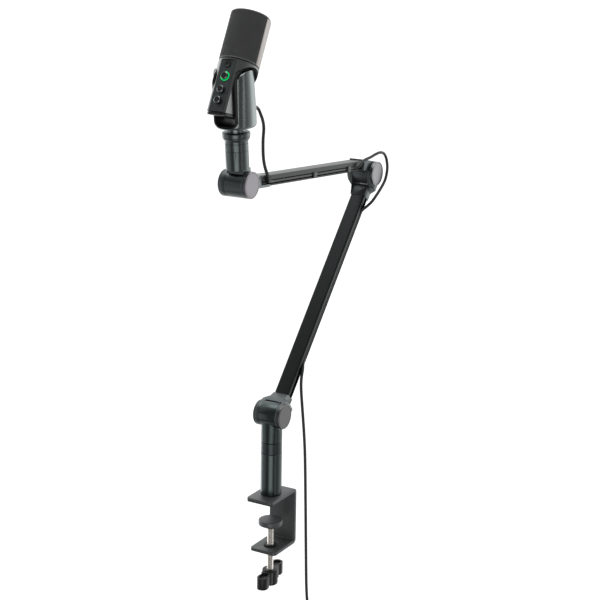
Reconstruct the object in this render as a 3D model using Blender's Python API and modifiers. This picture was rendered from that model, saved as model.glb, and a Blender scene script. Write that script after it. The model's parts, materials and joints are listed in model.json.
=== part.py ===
"""USB condenser microphone on a yoke, a self-locking boom arm and a desk clamp.

Metres, +Z up. The origin is on the clamp's desk face, under the column, and the arm folds in the XZ plane.
"""
import math

import bmesh
import bpy
from mathutils import Matrix, Vector

# ---------------------------------------------------------------- driving sizes
GAP = 0.0003            # clearance between neighbouring pieces
ROUND = 24              # sides of a large round piece
SMALL_ROUND = 16        # sides of a small round piece

# clamp
CLAMP_HALF_WIDTH = 0.0186
PLATE_THICK = 0.0043
TOP_PLATE_Z = 0.0012
TOP_PLATE_X = -0.0295
BACK_PLATE_X = 0.0325
BOTTOM_PLATE_Z = -0.0650
BOTTOM_PLATE_X = -0.0200
PAD_TOP = -0.0300
PAD_RADIUS = 0.0153
PAD_BASE = -0.0365
SCREW_RADIUS = 0.0040
SCREW_END = -0.1120
HANDLE_TOP = -0.0973
HANDLE_BASE = -0.1180
HANDLE_TURN = math.radians(9.6)

# column and drums
COLUMN_RADIUS = 0.0133
COLUMN_FOOT = 0.0058
RING_FOOT = 0.0605
TURRET_FOOT = 0.0751
SPINDLE_RADIUS = 0.0079
DRUM_RADIUS = 0.01575
DRUM_NEAR = -0.01905    # outer face of the near cap, on -Y
DRUM_FAR = 0.01905      # outer face of the far cap
KNUCKLE_NEAR = -0.0126
KNUCKLE_FAR = 0.0096
CHEEK_OUTER = 0.0162
WEB_START = 0.0164      # from the pin to the web between a fork's cheeks
TAPER_START = 0.0168    # from the pin to where a fork narrows to the tube's width
NEAR_ROOM = 0.0175      # space for the cheeks around a knuckle
FAR_ROOM = 0.0220
PIN_RADIUS = 0.0040
WASHER_RADIUS = 0.0090
WASHER_THICK = 0.00085

# arms
SHOULDER_HEIGHT = 0.110
LOWER_LENGTH = 0.3561
LOWER_LEAN = math.radians(40.7)      # from vertical, towards +X
UPPER_LENGTH = 0.3146
UPPER_RISE = math.radians(5.74)      # above horizontal, towards -X
TUBE_WIDTH = 0.0200
TUBE_DEPTH = 0.0130
TUBE_CORNER = 0.0022
SLOT_WIDTH = 0.0050
SLOT_DEPTH = 0.0046
SLOT_SHIFT = 0.0015                  # slot centre, from the tube's middle towards its underside
LOWER_OFFSET = 0.0095                # tube below the line through the pins
UPPER_OFFSET = 0.0118                # tube above the elbow pin, none at the wrist
PLUG_LENGTH = 0.020
FOOT_REACH = 0.0300
HEAD_REACH = 0.0331
ELBOW_REACH = 0.0290
WRIST_REACH = 0.0540
WRIST_CHEEK = 0.0245

# wrist post and yoke
POST_LEAN = math.radians(4.88)       # towards -X
POST_RADIUS = 0.0135
POST_FOOT = 0.0178
POST_TOP = 0.0552
COLLAR_RADIUS = 0.0162
COLLAR_TOP = 0.0609
STUD_RADIUS = 0.0049
YOKE_NECK = 0.0113
YOKE_FOOT = 0.0613
YOKE_FLOOR = 0.0665
YOKE_RADIUS = 0.0240
YOKE_TIP_RADIUS = 0.0224
WINDOW_HALF = 0.0154
WINDOW_FLOOR = 0.0685
WINDOW_CORNER = 0.0080
PIVOT_HEIGHT = 0.1134
PIVOT_FORWARD = 0.0013
ARCH_RADIUS = 0.0183
LINER_HALF = 0.0127
LINER_ARCH = 0.0213
PIVOT_RADIUS = 0.0035

# microphone, in its own frame: origin on the pivot, +Z up its axis, front on -X
MIC_TILT = math.radians(26.7)        # from vertical, towards +X
MIC_RADIUS = 0.0235
TONGUE_HALF = 0.0123
RECESS_RADIUS = 0.0219
HEM = 0.0245
HEAD_TOP = 0.0835
GRILLE_WALL = 0.0013
GRILLE_HALF_ANGLE = math.radians(82.5)
PANEL_FRONT = 0.0216
PANEL_THICK = 0.0014
PANEL_HALF = 0.0093
PANEL_TOP = 0.0222
SEAM_TILT = math.radians(13.1)
SEAM_DROP = 0.0341
CAP_DROP = 0.0033
MUTE_HEIGHT = 0.0169
GAIN_HEIGHT = 0.0031
MIX_HEIGHT = -0.0130
VOLUME_HEIGHT = -0.0258
SOCKET_HEIGHT = -0.0050
PLUG_START = 0.0239
PLUG_END = 0.0380
RELIEF_END = 0.0430

# cable
CABLE_RADIUS = 0.0019
CABLE_Y = -0.0081                    # centre of the cable where it lies in the slots
FLOOR = -0.2150
CABLE_STEP = 0.0100
UPPER_RUN = (0.0655, 0.2355)         # where the cable lies in the slots, from the elbow and from the shoulder
LOWER_RUN = (0.1020, 0.2765)
LEAD = 0.0135                        # straight stretch of the free cable inside a slot
DROP_ROUTE = [
    (-0.0425, 0.0002, 0.4952), (-0.0375, 0.0000, 0.4920), (-0.0344, -0.0006, 0.4865),
    (-0.0322, -0.0024, 0.4790), (-0.0326, -0.0042, 0.4700), (-0.0369, -0.0060, 0.4572), (-0.0392, -0.0075, 0.4450),
    (-0.0402, -0.0090, 0.4342), (-0.0398, -0.0110, 0.4250), (-0.0365, -0.0126, 0.4158), (-0.0315, -0.0112, 0.4085),
    (-0.0240, -0.0090, 0.40665)]
ELBOW_ROUTE = [
    (0.1850, -0.0100, 0.3933), (0.1885, -0.0126, 0.3943), (0.1915, -0.0138, 0.3968), (0.1955, -0.0146, 0.4002),
    (0.2035, -0.0158, 0.4026), (0.2125, -0.0174, 0.4040), (0.2220, -0.0196, 0.4068), (0.2330, -0.0216, 0.4084),
    (0.2425, -0.0224, 0.4055), (0.2495, -0.0225, 0.3980), (0.2530, -0.0225, 0.3870), (0.2518, -0.0224, 0.3770),
    (0.2468, -0.0222, 0.3680), (0.2350, -0.0215, 0.3580), (0.2222, -0.0200, 0.3482), (0.2175, -0.0176, 0.3432),
    (0.2120, -0.0135, 0.3378), (0.2064, -0.0102, 0.3335)]
TAIL_ROUTE = [
    (0.0600, -0.0093, 0.1630), (0.0548, -0.0118, 0.1562), (0.0510, -0.0126, 0.1485), (0.0497, -0.0126, 0.1400),
    (0.0508, -0.0123, 0.1280), (0.0535, -0.0120, 0.1130), (0.0572, -0.0118, 0.0920), (0.0613, -0.0115, 0.0680),
    (0.0659, -0.0110, 0.0333), (0.0703, -0.0105, -0.0310), (0.0736, -0.0105, -0.1000), (0.0752, -0.0112, -0.1500),
    (0.0756, -0.0130, -0.1740), (0.0758, -0.0155, -0.1880), (0.0752, -0.0195, -0.1960)]
COIL_CENTRE = Vector((0.0500, -0.0250, FLOOR))
COIL_OUTER = 0.0320
COIL_INNER = 0.0160
COIL_HEIGHT = 0.0160

ELBOW = Vector((LOWER_LENGTH * math.sin(LOWER_LEAN), 0, SHOULDER_HEIGHT + LOWER_LENGTH * math.cos(LOWER_LEAN)))
WRIST = ELBOW + Vector((-UPPER_LENGTH * math.cos(UPPER_RISE), 0, UPPER_LENGTH * math.sin(UPPER_RISE)))

# ---------------------------------------------------------------- scene helpers
for old in list(bpy.data.objects):
    bpy.data.objects.remove(old, do_unlink=True)
PARTS = bpy.data.collections.new("condenser_microphone")
CUTTERS = bpy.data.collections.new("cutters")
bpy.context.scene.collection.children.link(PARTS)
bpy.context.scene.collection.children.link(CUTTERS)
MATERIALS = {}


def material(name, colour, roughness, metallic):
    """One Principled material for each finish."""
    made = bpy.data.materials.new(name)
    made.use_nodes = True
    shader = made.node_tree.nodes["Principled BSDF"]
    shader.inputs["Base Color"].default_value = (*colour, 1.0)
    shader.inputs["Roughness"].default_value = roughness
    shader.inputs["Metallic"].default_value = metallic
    MATERIALS[name] = made


material("anthracite", (0.045, 0.050, 0.051), 0.38, 0.85)
material("satin_metal", (0.16, 0.17, 0.17), 0.35, 0.9)
material("steel", (0.62, 0.59, 0.55), 0.3, 1.0)
material("black_plastic", (0.015, 0.017, 0.019), 0.5, 0.0)
material("rubber", (0.010, 0.010, 0.011), 0.8, 0.0)
material("mesh_black", (0.035, 0.036, 0.036), 0.65, 0.4)
material("cable_sheath", (0.03, 0.03, 0.03), 0.55, 0.0)
material("light_guide", (0.02, 0.55, 0.12), 0.3, 0.0)
material("board_green", (0.02, 0.10, 0.05), 0.5, 0.0)
material("gold_film", (0.75, 0.60, 0.30), 0.3, 1.0)


def frame(name, location, turn=0.0, parent=None):
    """An empty that holds a group of pieces, turned about Y."""
    holder = bpy.data.objects.new(name, None)
    holder.location = location
    holder.rotation_euler = (0.0, turn, 0.0)
    holder.parent = parent
    PARTS.objects.link(holder)
    return holder


def place(name, mesh, parent, finish=None):
    """Put a mesh in the scene: a part if it has a finish, a cutter if it has none."""
    obj = bpy.data.objects.new(name, mesh)
    obj.parent = parent
    if finish is None:
        CUTTERS.objects.link(obj)
        obj.hide_render = True
        obj.display_type = "WIRE"
    else:
        PARTS.objects.link(obj)
        obj.data.materials.append(MATERIALS[finish])
    return obj


def boolean(target, other, operation="DIFFERENCE"):
    """Cut a piece with a cutter, or join or intersect it with one."""
    step = target.modifiers.new(operation.lower(), "BOOLEAN")
    step.operation = operation
    step.solver = "EXACT"
    step.object = other


def bevel(obj, width, segments=1):
    """Round the sharp edges of a piece."""
    step = obj.modifiers.new("bevel", "BEVEL")
    step.width = width
    step.segments = segments
    step.limit_method = "ANGLE"
    step.angle_limit = math.radians(50)


TO_AXIS = {"Z": Matrix.Identity(4),
           "Y": Matrix.Rotation(math.radians(-90), 4, "X"),
           "X": Matrix.Rotation(math.radians(90), 4, "Y")}


def turned(name, profile, parent, finish=None, axis="Z", at=(0, 0, 0), sides=ROUND, ring=False):
    """A turned solid: (radius, height) points down the outer side; a ring closes on itself."""
    mesh = bpy.data.meshes.new(name)
    points = [(radius, 0.0, height) for radius, height in profile]
    edges = [(i, i + 1) for i in range(len(points) - 1)]
    if ring:
        edges.append((len(points) - 1, 0))
    mesh.from_pydata(points, edges, [])
    obj = place(name, mesh, parent, finish)
    obj.matrix_basis = Matrix.Translation(at) @ TO_AXIS[axis]
    screw = obj.modifiers.new("turn", "SCREW")
    screw.steps = sides
    screw.render_steps = sides
    screw.use_merge_vertices = True
    screw.merge_threshold = 0.00001
    screw.use_smooth_shade = False
    return obj


def rod(name, radius, low, high, parent, finish=None, axis="Z", at=(0, 0, 0), sides=SMALL_ROUND):
    """A plain cylinder from low to high along its axis."""
    return turned(name, [(0, high), (radius, high), (radius, low), (0, low)], parent, finish, axis, at, sides)


def washer(name, inner, outer, low, high, parent, finish=None, axis="Z", at=(0, 0, 0), sides=SMALL_ROUND):
    """A flat ring from low to high along its axis."""
    profile = [(outer, high), (outer, low), (inner, low), (inner, high)]
    return turned(name, profile, parent, finish, axis, at, sides, ring=True)


def box(name, low, high, parent, finish=None):
    """A box between two corners."""
    low, high = Vector(low), Vector(high)
    shape = bmesh.new()
    bmesh.ops.create_cube(shape, size=1.0)
    bmesh.ops.scale(shape, vec=high - low, verts=shape.verts)
    bmesh.ops.translate(shape, vec=(high + low) / 2, verts=shape.verts)
    mesh = bpy.data.meshes.new(name)
    shape.to_mesh(mesh)
    shape.free()
    return place(name, mesh, parent, finish)


ALONG = {"Z": Matrix.Identity(4),
         "Y": Matrix(((1, 0, 0, 0), (0, 0, -1, 0), (0, 1, 0, 0), (0, 0, 0, 1))),
         "X": Matrix(((0, 0, 1, 0), (1, 0, 0, 0), (0, 1, 0, 0), (0, 0, 0, 1)))}


def prism(name, outlines, low, high, parent, finish=None, axis="Z"):
    """Flat outlines extruded from low to high: (x, y) along Z, (x, z) along Y, (y, z) along X."""
    flat = bpy.data.curves.new(name, "CURVE")
    flat.dimensions = "2D"
    flat.fill_mode = "BOTH"
    flat.extrude = (high - low) / 2
    for outline in outlines:
        spline = flat.splines.new("POLY")
        spline.points.add(len(outline) - 1)
        for point, (u, v) in zip(spline.points, outline):
            point.co = (u, v, 0.0, 1.0)
        spline.use_cyclic_u = True
    guide = bpy.data.objects.new(name + "_outline", flat)
    CUTTERS.objects.link(guide)
    bpy.context.view_layer.update()
    mesh = bpy.data.meshes.new_from_object(guide.evaluated_get(bpy.context.evaluated_depsgraph_get()))
    bpy.data.objects.remove(guide)
    shape = bmesh.new()
    shape.from_mesh(mesh)
    bmesh.ops.remove_doubles(shape, verts=shape.verts, dist=0.000001)
    middle = (high + low) / 2
    sign = -1.0 if axis == "Y" else 1.0
    bmesh.ops.transform(shape, matrix=ALONG[axis] @ Matrix.Translation((0, 0, sign * middle)), verts=shape.verts)
    bmesh.ops.recalc_face_normals(shape, faces=shape.faces)
    if shape.calc_volume(signed=True) < 0:
        bmesh.ops.reverse_faces(shape, faces=shape.faces)
    shape.to_mesh(mesh)
    shape.free()
    mesh.materials.clear()
    mesh.name = name
    return place(name, mesh, parent, finish)


def arc(centre, radius, start, end, steps):
    """Points of an arc, from one angle to another, in degrees."""
    angles = [math.radians(start + (end - start) * i / steps) for i in range(steps + 1)]
    return [(centre[0] + radius * math.cos(a), centre[1] + radius * math.sin(a)) for a in angles]


def rounded(low, high, radius, steps=3):
    """A rectangle with round corners."""
    (x0, y0), (x1, y1) = low, high
    points = []
    corners = [(x1, y1, 0), (x0, y1, 90), (x0, y0, 180), (x1, y0, 270)]
    for x, y, start in corners:
        cx = x - radius if x == x1 else x + radius
        cy = y - radius if y == y1 else y + radius
        points += arc((cx, cy), radius, start, start + 90, steps)
    return points


def hull(points):
    """The convex outline around some points."""
    def turn(o, a, b):
        return (a[0] - o[0]) * (b[1] - o[1]) - (a[1] - o[1]) * (b[0] - o[0])

    halves = []
    for ordered in (sorted(points), sorted(points, reverse=True)):
        half = []
        for point in ordered:
            while len(half) > 1 and turn(half[-2], half[-1], point) <= 1e-12:
                half.pop()
            half.append(point)
        halves += half[:-1]
    return halves


def smooth_route(route, step):
    """Evenly spaced points on a Catmull-Rom curve through the points of a route."""
    points = [Vector(p) for p in route]
    points = [2 * points[0] - points[1]] + points + [2 * points[-1] - points[-2]]
    dense = []
    for a, b, c, d in zip(points, points[1:], points[2:], points[3:]):
        for i in range(20):
            t = i / 20
            dense.append(0.5 * (2 * b + (c - a) * t + (2 * a - 5 * b + 4 * c - d) * t * t
                                + (3 * b - a - 3 * c + d) * t ** 3))
    dense.append(points[-2])
    total = sum((q - p).length for p, q in zip(dense, dense[1:]))
    count = max(2, round(total / step))
    spaced = [dense[0]]
    walked = 0.0
    for p, q in zip(dense, dense[1:]):
        length = (q - p).length
        while len(spaced) < count and walked + length >= total * len(spaced) / count:
            spaced.append(p.lerp(q, (total * len(spaced) / count - walked) / length))
        walked += length
    return spaced + [dense[-1]]


def cable(name, points):
    """A stretch of the cable along a line of points."""
    line = bpy.data.curves.new(name, "CURVE")
    line.dimensions = "3D"
    line.bevel_depth = CABLE_RADIUS
    line.bevel_resolution = 2
    line.use_fill_caps = True
    spline = line.splines.new("POLY")
    spline.points.add(len(points) - 1)
    for point, place_at in zip(spline.points, points):
        point.co = (*place_at, 1.0)
    obj = bpy.data.objects.new(name, line)
    line.materials.append(MATERIALS["cable_sheath"])
    PARTS.objects.link(obj)
    return obj


# ---------------------------------------------------------------- clamp
def bracket_outline():
    """The clamp's C shape, seen from -Y."""
    top, back = TOP_PLATE_Z + PLATE_THICK, BACK_PLATE_X
    inner_back = BACK_PLATE_X - PLATE_THICK
    base = BOTTOM_PLATE_Z - PLATE_THICK
    bend = 0.0055
    inner = bend - PLATE_THICK
    outer_top = arc((back - bend, top - bend), bend, 90, 0, 4)
    outer_base = arc((back - bend, base + bend), bend, 0, -90, 4)
    inner_base = arc((inner_back - inner, BOTTOM_PLATE_Z + inner), inner, -90, 0, 2)
    inner_top = arc((inner_back - inner, TOP_PLATE_Z - inner), inner, 0, 90, 2)
    start = [(TOP_PLATE_X, TOP_PLATE_Z), (TOP_PLATE_X, top)]
    foot = [(BOTTOM_PLATE_X, base), (BOTTOM_PLATE_X, BOTTOM_PLATE_Z)]
    return start + outer_top + outer_base + foot + inner_base + inner_top


def make_clamp():
    """Bracket, jaw rubber, screw, bush, handle, pad and the column's bolt."""
    width = CLAMP_HALF_WIDTH
    bracket = prism("clamp_bracket", [bracket_outline()], -width, width, None, "anthracite", "Y")
    for label, x, z in (("top", TOP_PLATE_X, TOP_PLATE_Z), ("bottom", BOTTOM_PLATE_X, BOTTOM_PLATE_Z - PLATE_THICK)):
        corner = 0.0045
        keep = rounded((x, -width), (x + 0.1, width), corner)
        border = [(x - 0.01, -width - 0.01), (x + corner, -width - 0.01)] + keep[11:3:-1] + [
            (x + corner, width + 0.01), (x - 0.01, width + 0.01)]
        trim = prism(label + "_corner_cut", [border], z - 0.002, z + PLATE_THICK + 0.002, None)
        boolean(bracket, trim)
    bore = 0.0059
    boolean(bracket, rod("bush_hole", bore, BOTTOM_PLATE_Z - 0.01, BOTTOM_PLATE_Z + 0.01, None))
    boolean(bracket, rod("bolt_head_hole", 0.0065, -0.002, 0.0037, None))
    boolean(bracket, rod("bolt_hole", 0.0033, 0.003, 0.01, None))
    box("jaw_rubber", (TOP_PLATE_X + 0.0015, -0.0173, 0), (BACK_PLATE_X - 0.006, 0.0173, 0.0009), None, "rubber")
    bolt = [(0, 0.018), (0.003, 0.018), (0.003, 0.0034), (0.0062, 0.0034), (0.0062, 0.0014), (0, 0.0014)]
    turned("column_bolt", bolt, None, "steel", sides=SMALL_ROUND)
    plate = BOTTOM_PLATE_Z
    bush = [(0.0082, plate + 0.0025), (0.0082, plate + GAP), (bore - GAP, plate + GAP),
            (bore - GAP, plate - PLATE_THICK), (SCREW_RADIUS + GAP, plate - PLATE_THICK),
            (SCREW_RADIUS + GAP, plate + 0.0025)]
    turned("screw_bush", bush, None, "steel", sides=SMALL_ROUND, ring=True)
    rod("clamp_screw", SCREW_RADIUS, SCREW_END, PAD_TOP - 0.0046, None, "steel")
    pad = [(0, PAD_TOP), (PAD_RADIUS - 0.001, PAD_TOP), (PAD_RADIUS, PAD_TOP - 0.001), (PAD_RADIUS, PAD_BASE + 0.0008),
           (PAD_RADIUS - 0.0008, PAD_BASE), (0.008, PAD_BASE), (0.0075, PAD_BASE - 0.004),
           (SCREW_RADIUS + GAP, PAD_BASE - 0.004), (SCREW_RADIUS + GAP, PAD_TOP - 0.0042), (0, PAD_TOP - 0.0042)]
    turned("clamp_pad", pad, None, "anthracite")
    hub = [(0, HANDLE_TOP), (0.009, HANDLE_TOP), (0.010, HANDLE_TOP - 0.001), (0.010, HANDLE_BASE + 0.002),
           (0.008, HANDLE_BASE), (0, HANDLE_BASE)]
    handle = turned("clamp_handle", hub, None, "black_plastic")
    lobe, reach = 0.0070, 0.0255
    wings = arc((reach, 0), lobe, -90, 90, 6) + arc((-reach, 0), lobe, 90, 270, 6)
    turn = [(x * math.cos(HANDLE_TURN) - y * math.sin(HANDLE_TURN),
             x * math.sin(HANDLE_TURN) + y * math.cos(HANDLE_TURN)) for x, y in wings]
    boolean(handle, prism("wings", [turn], HANDLE_BASE + 0.0042, HANDLE_TOP - 0.0012, None), "UNION")
    boolean(handle, rod("handle_bore", SCREW_RADIUS + GAP, SCREW_END - GAP, HANDLE_TOP + 0.01, None))


# ---------------------------------------------------------------- column
def make_column():
    """Fixed column, swivel ring and spindle."""
    spindle_bore = SPINDLE_RADIUS + GAP
    r, foot, top = COLUMN_RADIUS, COLUMN_FOOT, RING_FOOT - GAP
    base = [(r - 0.0005, top), (r, top - 0.0005), (r, foot), (0.0033, foot), (0.0033, 0.024), (spindle_bore, 0.024),
            (spindle_bore, top)]
    turned("column_base", base, None, "anthracite", ring=True)
    washer("column_ring", spindle_bore, r - 0.0002, RING_FOOT, TURRET_FOOT - GAP, None, "anthracite", sides=ROUND)
    rod("swivel_spindle", SPINDLE_RADIUS, 0.025, TURRET_FOOT + 0.007, None, "steel")


def knuckle(obj, name, parent):
    """Join the middle of a joint drum to a piece, with its pin bore and washer recess."""
    drum = turned(name + "_drum", [(0, KNUCKLE_FAR), (DRUM_RADIUS, KNUCKLE_FAR), (DRUM_RADIUS, KNUCKLE_NEAR),
                                   (0, KNUCKLE_NEAR)], parent, axis="Y")
    boolean(obj, drum, "UNION")
    near = rod(name + "_near_room", NEAR_ROOM, KNUCKLE_NEAR - 0.012, KNUCKLE_NEAR, parent, axis="Y", sides=ROUND)
    boolean(obj, near)
    far = rod(name + "_far_room", FAR_ROOM, KNUCKLE_FAR, KNUCKLE_FAR + 0.014, parent, axis="Y", sides=ROUND)
    boolean(obj, far)
    boolean(obj, rod(name + "_bore", PIN_RADIUS + GAP, -0.03, 0.03, parent, axis="Y"))
    recess = rod(name + "_recess", WASHER_RADIUS + GAP, KNUCKLE_FAR - WASHER_THICK - 2 * GAP, 0.03, parent, axis="Y")
    boolean(obj, recess)


def make_turret():
    """The part of the column that swivels, with the shoulder's drum."""
    shoulder = frame("shoulder_frame", (0, 0, SHOULDER_HEIGHT))
    low, bore_top = TURRET_FOOT - SHOULDER_HEIGHT, TURRET_FOOT + 0.0074 - SHOULDER_HEIGHT
    r, bore = COLUMN_RADIUS, SPINDLE_RADIUS + GAP
    body = [(0, 0), (r, 0), (r, low + 0.0005), (r - 0.0005, low), (bore, low), (bore, bore_top), (0, bore_top)]
    turret = turned("shoulder_turret", body, shoulder, "anthracite")
    knuckle(turret, "shoulder", shoulder)


def joint_hardware(name, parent):
    """Pin, friction washer and the two caps of a joint drum."""
    rod(name + "_pin", PIN_RADIUS, -CHEEK_OUTER + GAP, CHEEK_OUTER - GAP, parent, "steel", "Y")
    face = KNUCKLE_FAR + 0.00015
    washer(name + "_washer", PIN_RADIUS + GAP, WASHER_RADIUS, face - WASHER_THICK, face, parent, "steel", "Y")
    r, near, far, edge = DRUM_RADIUS, -CHEEK_OUTER - GAP, CHEEK_OUTER + GAP, 0.0006
    turned(name + "_cap_near", [(0, near), (r, near), (r, DRUM_NEAR + edge), (r - edge, DRUM_NEAR), (0, DRUM_NEAR)],
           parent, "satin_metal", "Y")
    soft = 0.0020
    turned(name + "_cap_far", [(0, DRUM_FAR), (r - soft, DRUM_FAR), (r - 0.3 * soft, DRUM_FAR - 0.3 * soft),
                               (r, DRUM_FAR - soft), (r, far), (0, far)], parent, "anthracite", "Y")


# ---------------------------------------------------------------- arms
def tube_outlines(under):
    """Section of the arm: a rounded profile with a cable slot on -Y, and its hollow."""
    half, deep, corner = TUBE_WIDTH / 2, TUBE_DEPTH / 2, TUBE_CORNER
    outer = rounded((-deep, -half), (deep, half), corner)
    middle = under * SLOT_SHIFT
    low, high = middle - SLOT_WIDTH / 2, middle + SLOT_WIDTH / 2
    floor = -half + SLOT_DEPTH
    slot = [(low, -half), (low, floor), (high, floor), (high, -half)]
    section = outer[:12] + slot + outer[12:]
    hollow = rounded((-deep + 0.0016, floor + 0.0015), (deep - 0.0016, half - 0.0016), 0.0004, 1)
    return [section, hollow]


def tube_plug(x, start, end, name, parent):
    """The tongue of an end fitting that fills the end of a tube."""
    floor = -TUBE_WIDTH / 2 + SLOT_DEPTH
    low = (x - TUBE_DEPTH / 2 + 0.0019, floor + 0.0018, start)
    high = (x + TUBE_DEPTH / 2 - 0.0019, TUBE_WIDTH / 2 - 0.0019, end)
    return box(name, low, high, parent)


def fork(name, parent, offset, reach, cheek_reach, folds=False):
    """Fork fitting: two cheeks outside a drum, a web beyond it and a plug for the tube. +Z is outwards.

    Where the other arm folds against it, the web leaves the space on that side open.
    """
    side = TUBE_DEPTH / 2 + 0.0006
    disc = arc((0, 0), DRUM_RADIUS, 0, 345, 23)
    ends = [(offset - side, cheek_reach), (offset + side, cheek_reach)]
    fitting = prism(name, [hull(disc + ends)], -CHEEK_OUTER, CHEEK_OUTER, parent, "black_plastic", "Y")
    far = 0.04
    if folds:
        outline = [(-far, -far), (far, -far), (far, 2 * far), (offset + side, 2 * far), (offset + side, WEB_START),
                   (-far, WEB_START)]
    else:
        lip = arc((0, 0), WEB_START, 90, 120, 3)
        outline = [(-far, -far), (far, -far), (far, WEB_START)] + lip + [(-far / 2, far * math.sin(math.pi / 3))]
    boolean(fitting, prism(name + "_room", [outline], KNUCKLE_NEAR - GAP, KNUCKLE_FAR + GAP, parent, axis="Y"))
    boolean(fitting, rod(name + "_bore", PIN_RADIUS + GAP, -0.03, 0.03, parent, axis="Y"))
    half, drop, wide = TUBE_WIDTH / 2 + 0.0004, TAPER_START + CHEEK_OUTER - TUBE_WIDTH / 2, 0.03
    for sign in (-1, 1):
        taper = [(sign * wide, TAPER_START), (sign * (CHEEK_OUTER + GAP), TAPER_START), (sign * half, drop),
                 (sign * half, cheek_reach + 0.001), (sign * wide, cheek_reach + 0.001)]
        boolean(fitting, prism(name + "_taper", [taper], -far, far, parent, axis="X"))
    if reach > cheek_reach:
        neck = [(offset - side, DRUM_RADIUS + 0.002), (offset + side, DRUM_RADIUS + 0.002), (offset + side, reach),
                (offset - side, reach)]
        boolean(fitting, prism(name + "_neck", [neck], 0.0002 - half, half - 0.0002, parent, axis="Y"), "UNION")
    boolean(fitting, tube_plug(offset, reach - 0.004, reach + PLUG_LENGTH, name + "_plug", parent), "UNION")
    return fitting


def make_lower_arm():
    """Tube with a fork fitting at each end."""
    arm = frame("lower_arm_frame", (0, 0, SHOULDER_HEIGHT), LOWER_LEAN)
    joint_hardware("shoulder", arm)
    fork("lower_arm_foot", arm, LOWER_OFFSET, FOOT_REACH, FOOT_REACH)
    tube_frame = frame("lower_tube_frame", (LOWER_OFFSET, 0, 0), 0, arm)
    prism("lower_arm_tube", tube_outlines(1), FOOT_REACH + GAP, LOWER_LENGTH - HEAD_REACH - GAP, tube_frame,
          "anthracite")
    head = frame("elbow_frame", (0, 0, LOWER_LENGTH), math.pi, arm)
    fork("lower_arm_head", head, -LOWER_OFFSET, HEAD_REACH, HEAD_REACH, folds=True)
    joint_hardware("elbow", head)


def make_upper_arm():
    """Tube with a knuckle at the elbow, a fork at the wrist and two cable clips."""
    arm = frame("upper_arm_frame", ELBOW, UPPER_RISE - math.pi / 2)
    skew = -math.atan2(UPPER_OFFSET, UPPER_LENGTH)
    run = frame("upper_tube_frame", (UPPER_OFFSET, 0, 0), skew, arm)
    length = math.hypot(UPPER_OFFSET, UPPER_LENGTH)
    prism("upper_arm_tube", tube_outlines(-1), ELBOW_REACH + GAP, length - WRIST_REACH - GAP, run, "anthracite")
    side = TUBE_DEPTH / 2 + 0.0006
    low, high = UPPER_OFFSET - side, UPPER_OFFSET + side
    foot = math.acos(low / DRUM_RADIUS)
    outline = [(high, ELBOW_REACH - 0.0016), (low, ELBOW_REACH - 0.0012)] + arc(
        (0, 0), DRUM_RADIUS, math.degrees(foot), 354, 20)
    body = prism("upper_arm_knuckle", [outline], KNUCKLE_NEAR, KNUCKLE_FAR, arm, "black_plastic", "Y")
    boolean(body, tube_plug(0, ELBOW_REACH - 0.006, ELBOW_REACH + PLUG_LENGTH, "elbow_plug", run), "UNION")
    boolean(body, rod("elbow_bore", PIN_RADIUS + GAP, -0.03, 0.03, arm, axis="Y"))
    boolean(body, rod("elbow_recess", WASHER_RADIUS + GAP, KNUCKLE_FAR - WASHER_THICK - 2 * GAP, 0.03, arm, axis="Y"))
    wrist = frame("wrist_fork_frame", (UPPER_OFFSET, 0, 0), skew, arm)
    tip = frame("wrist_tip_frame", (0, 0, length), math.pi, wrist)
    fitting = fork("upper_arm_fork", tip, 0, WRIST_REACH, WRIST_CHEEK)
    boolean(fitting, box("cable_notch", (-0.03, -0.03, 0.034), (SLOT_SHIFT + SLOT_WIDTH / 2,
                                                              SLOT_DEPTH - TUBE_WIDTH / 2, 0.06), tip))
    joint_hardware("wrist", tip)
    for index, along in enumerate((0.0610, 0.1500)):
        middle, half = -SLOT_SHIFT, SLOT_WIDTH / 2
        low = (middle - half - 0.0015, -TUBE_WIDTH / 2 - 0.0013, along)
        high = (middle + half + 0.0009, -TUBE_WIDTH / 2 - GAP / 2, along + 0.009)
        box(f"cable_clip_{index + 1}", low, high, run, "black_plastic")


# ---------------------------------------------------------------- wrist post and yoke
def make_post(post):
    """Post with the wrist's drum, its collar and the stud that the yoke turns on."""
    r, groove, bore = POST_RADIUS, 0.0005, STUD_RADIUS + GAP
    profile = [(0, 0.0377), (bore, 0.0377), (bore, POST_TOP), (COLLAR_RADIUS - 0.0002, POST_TOP),
               (COLLAR_RADIUS - 0.0006, POST_TOP - 0.0012), (r + 0.0006, POST_TOP - 0.0036),
               (r - groove, POST_TOP - 0.0056), (r - groove, 0.0483), (r, 0.0479), (r, 0.0404), (r - groove, 0.0402),
               (r - groove, 0.0396), (r, 0.0394), (r, POST_FOOT), (0, POST_FOOT)]
    stem = turned("wrist_post", profile[::-1], post, "anthracite", ring=True)
    neck = box("post_neck", (-0.0080, KNUCKLE_NEAR, 0), (0.0080, KNUCKLE_FAR, POST_FOOT + 0.0010), post)
    boolean(stem, neck, "UNION")
    knuckle(stem, "wrist", post)
    r = COLLAR_RADIUS
    collar = [(r - 0.0012, COLLAR_TOP), (r, COLLAR_TOP - 0.0012), (r, POST_TOP + 0.0006), (r - 0.0003, POST_TOP + GAP),
              (bore, POST_TOP + GAP), (bore, COLLAR_TOP)]
    turned("post_collar", collar, post, "anthracite", ring=True)
    rod("swivel_stud", STUD_RADIUS, 0.0380, 0.0660, post, "steel")


def arch_cut(name, radius, parent):
    """Everything outside a round arch over the pivot."""
    reach, top = 0.032, PIVOT_HEIGHT + 0.035
    over = arc((-PIVOT_FORWARD, PIVOT_HEIGHT), radius, 180, 0, 12)
    outline = [(-reach, top), (-reach, PIVOT_HEIGHT)] + over + [(reach, PIVOT_HEIGHT), (reach, top)]
    return prism(name, [outline], -0.03, 0.03, parent, axis="Y")


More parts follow.
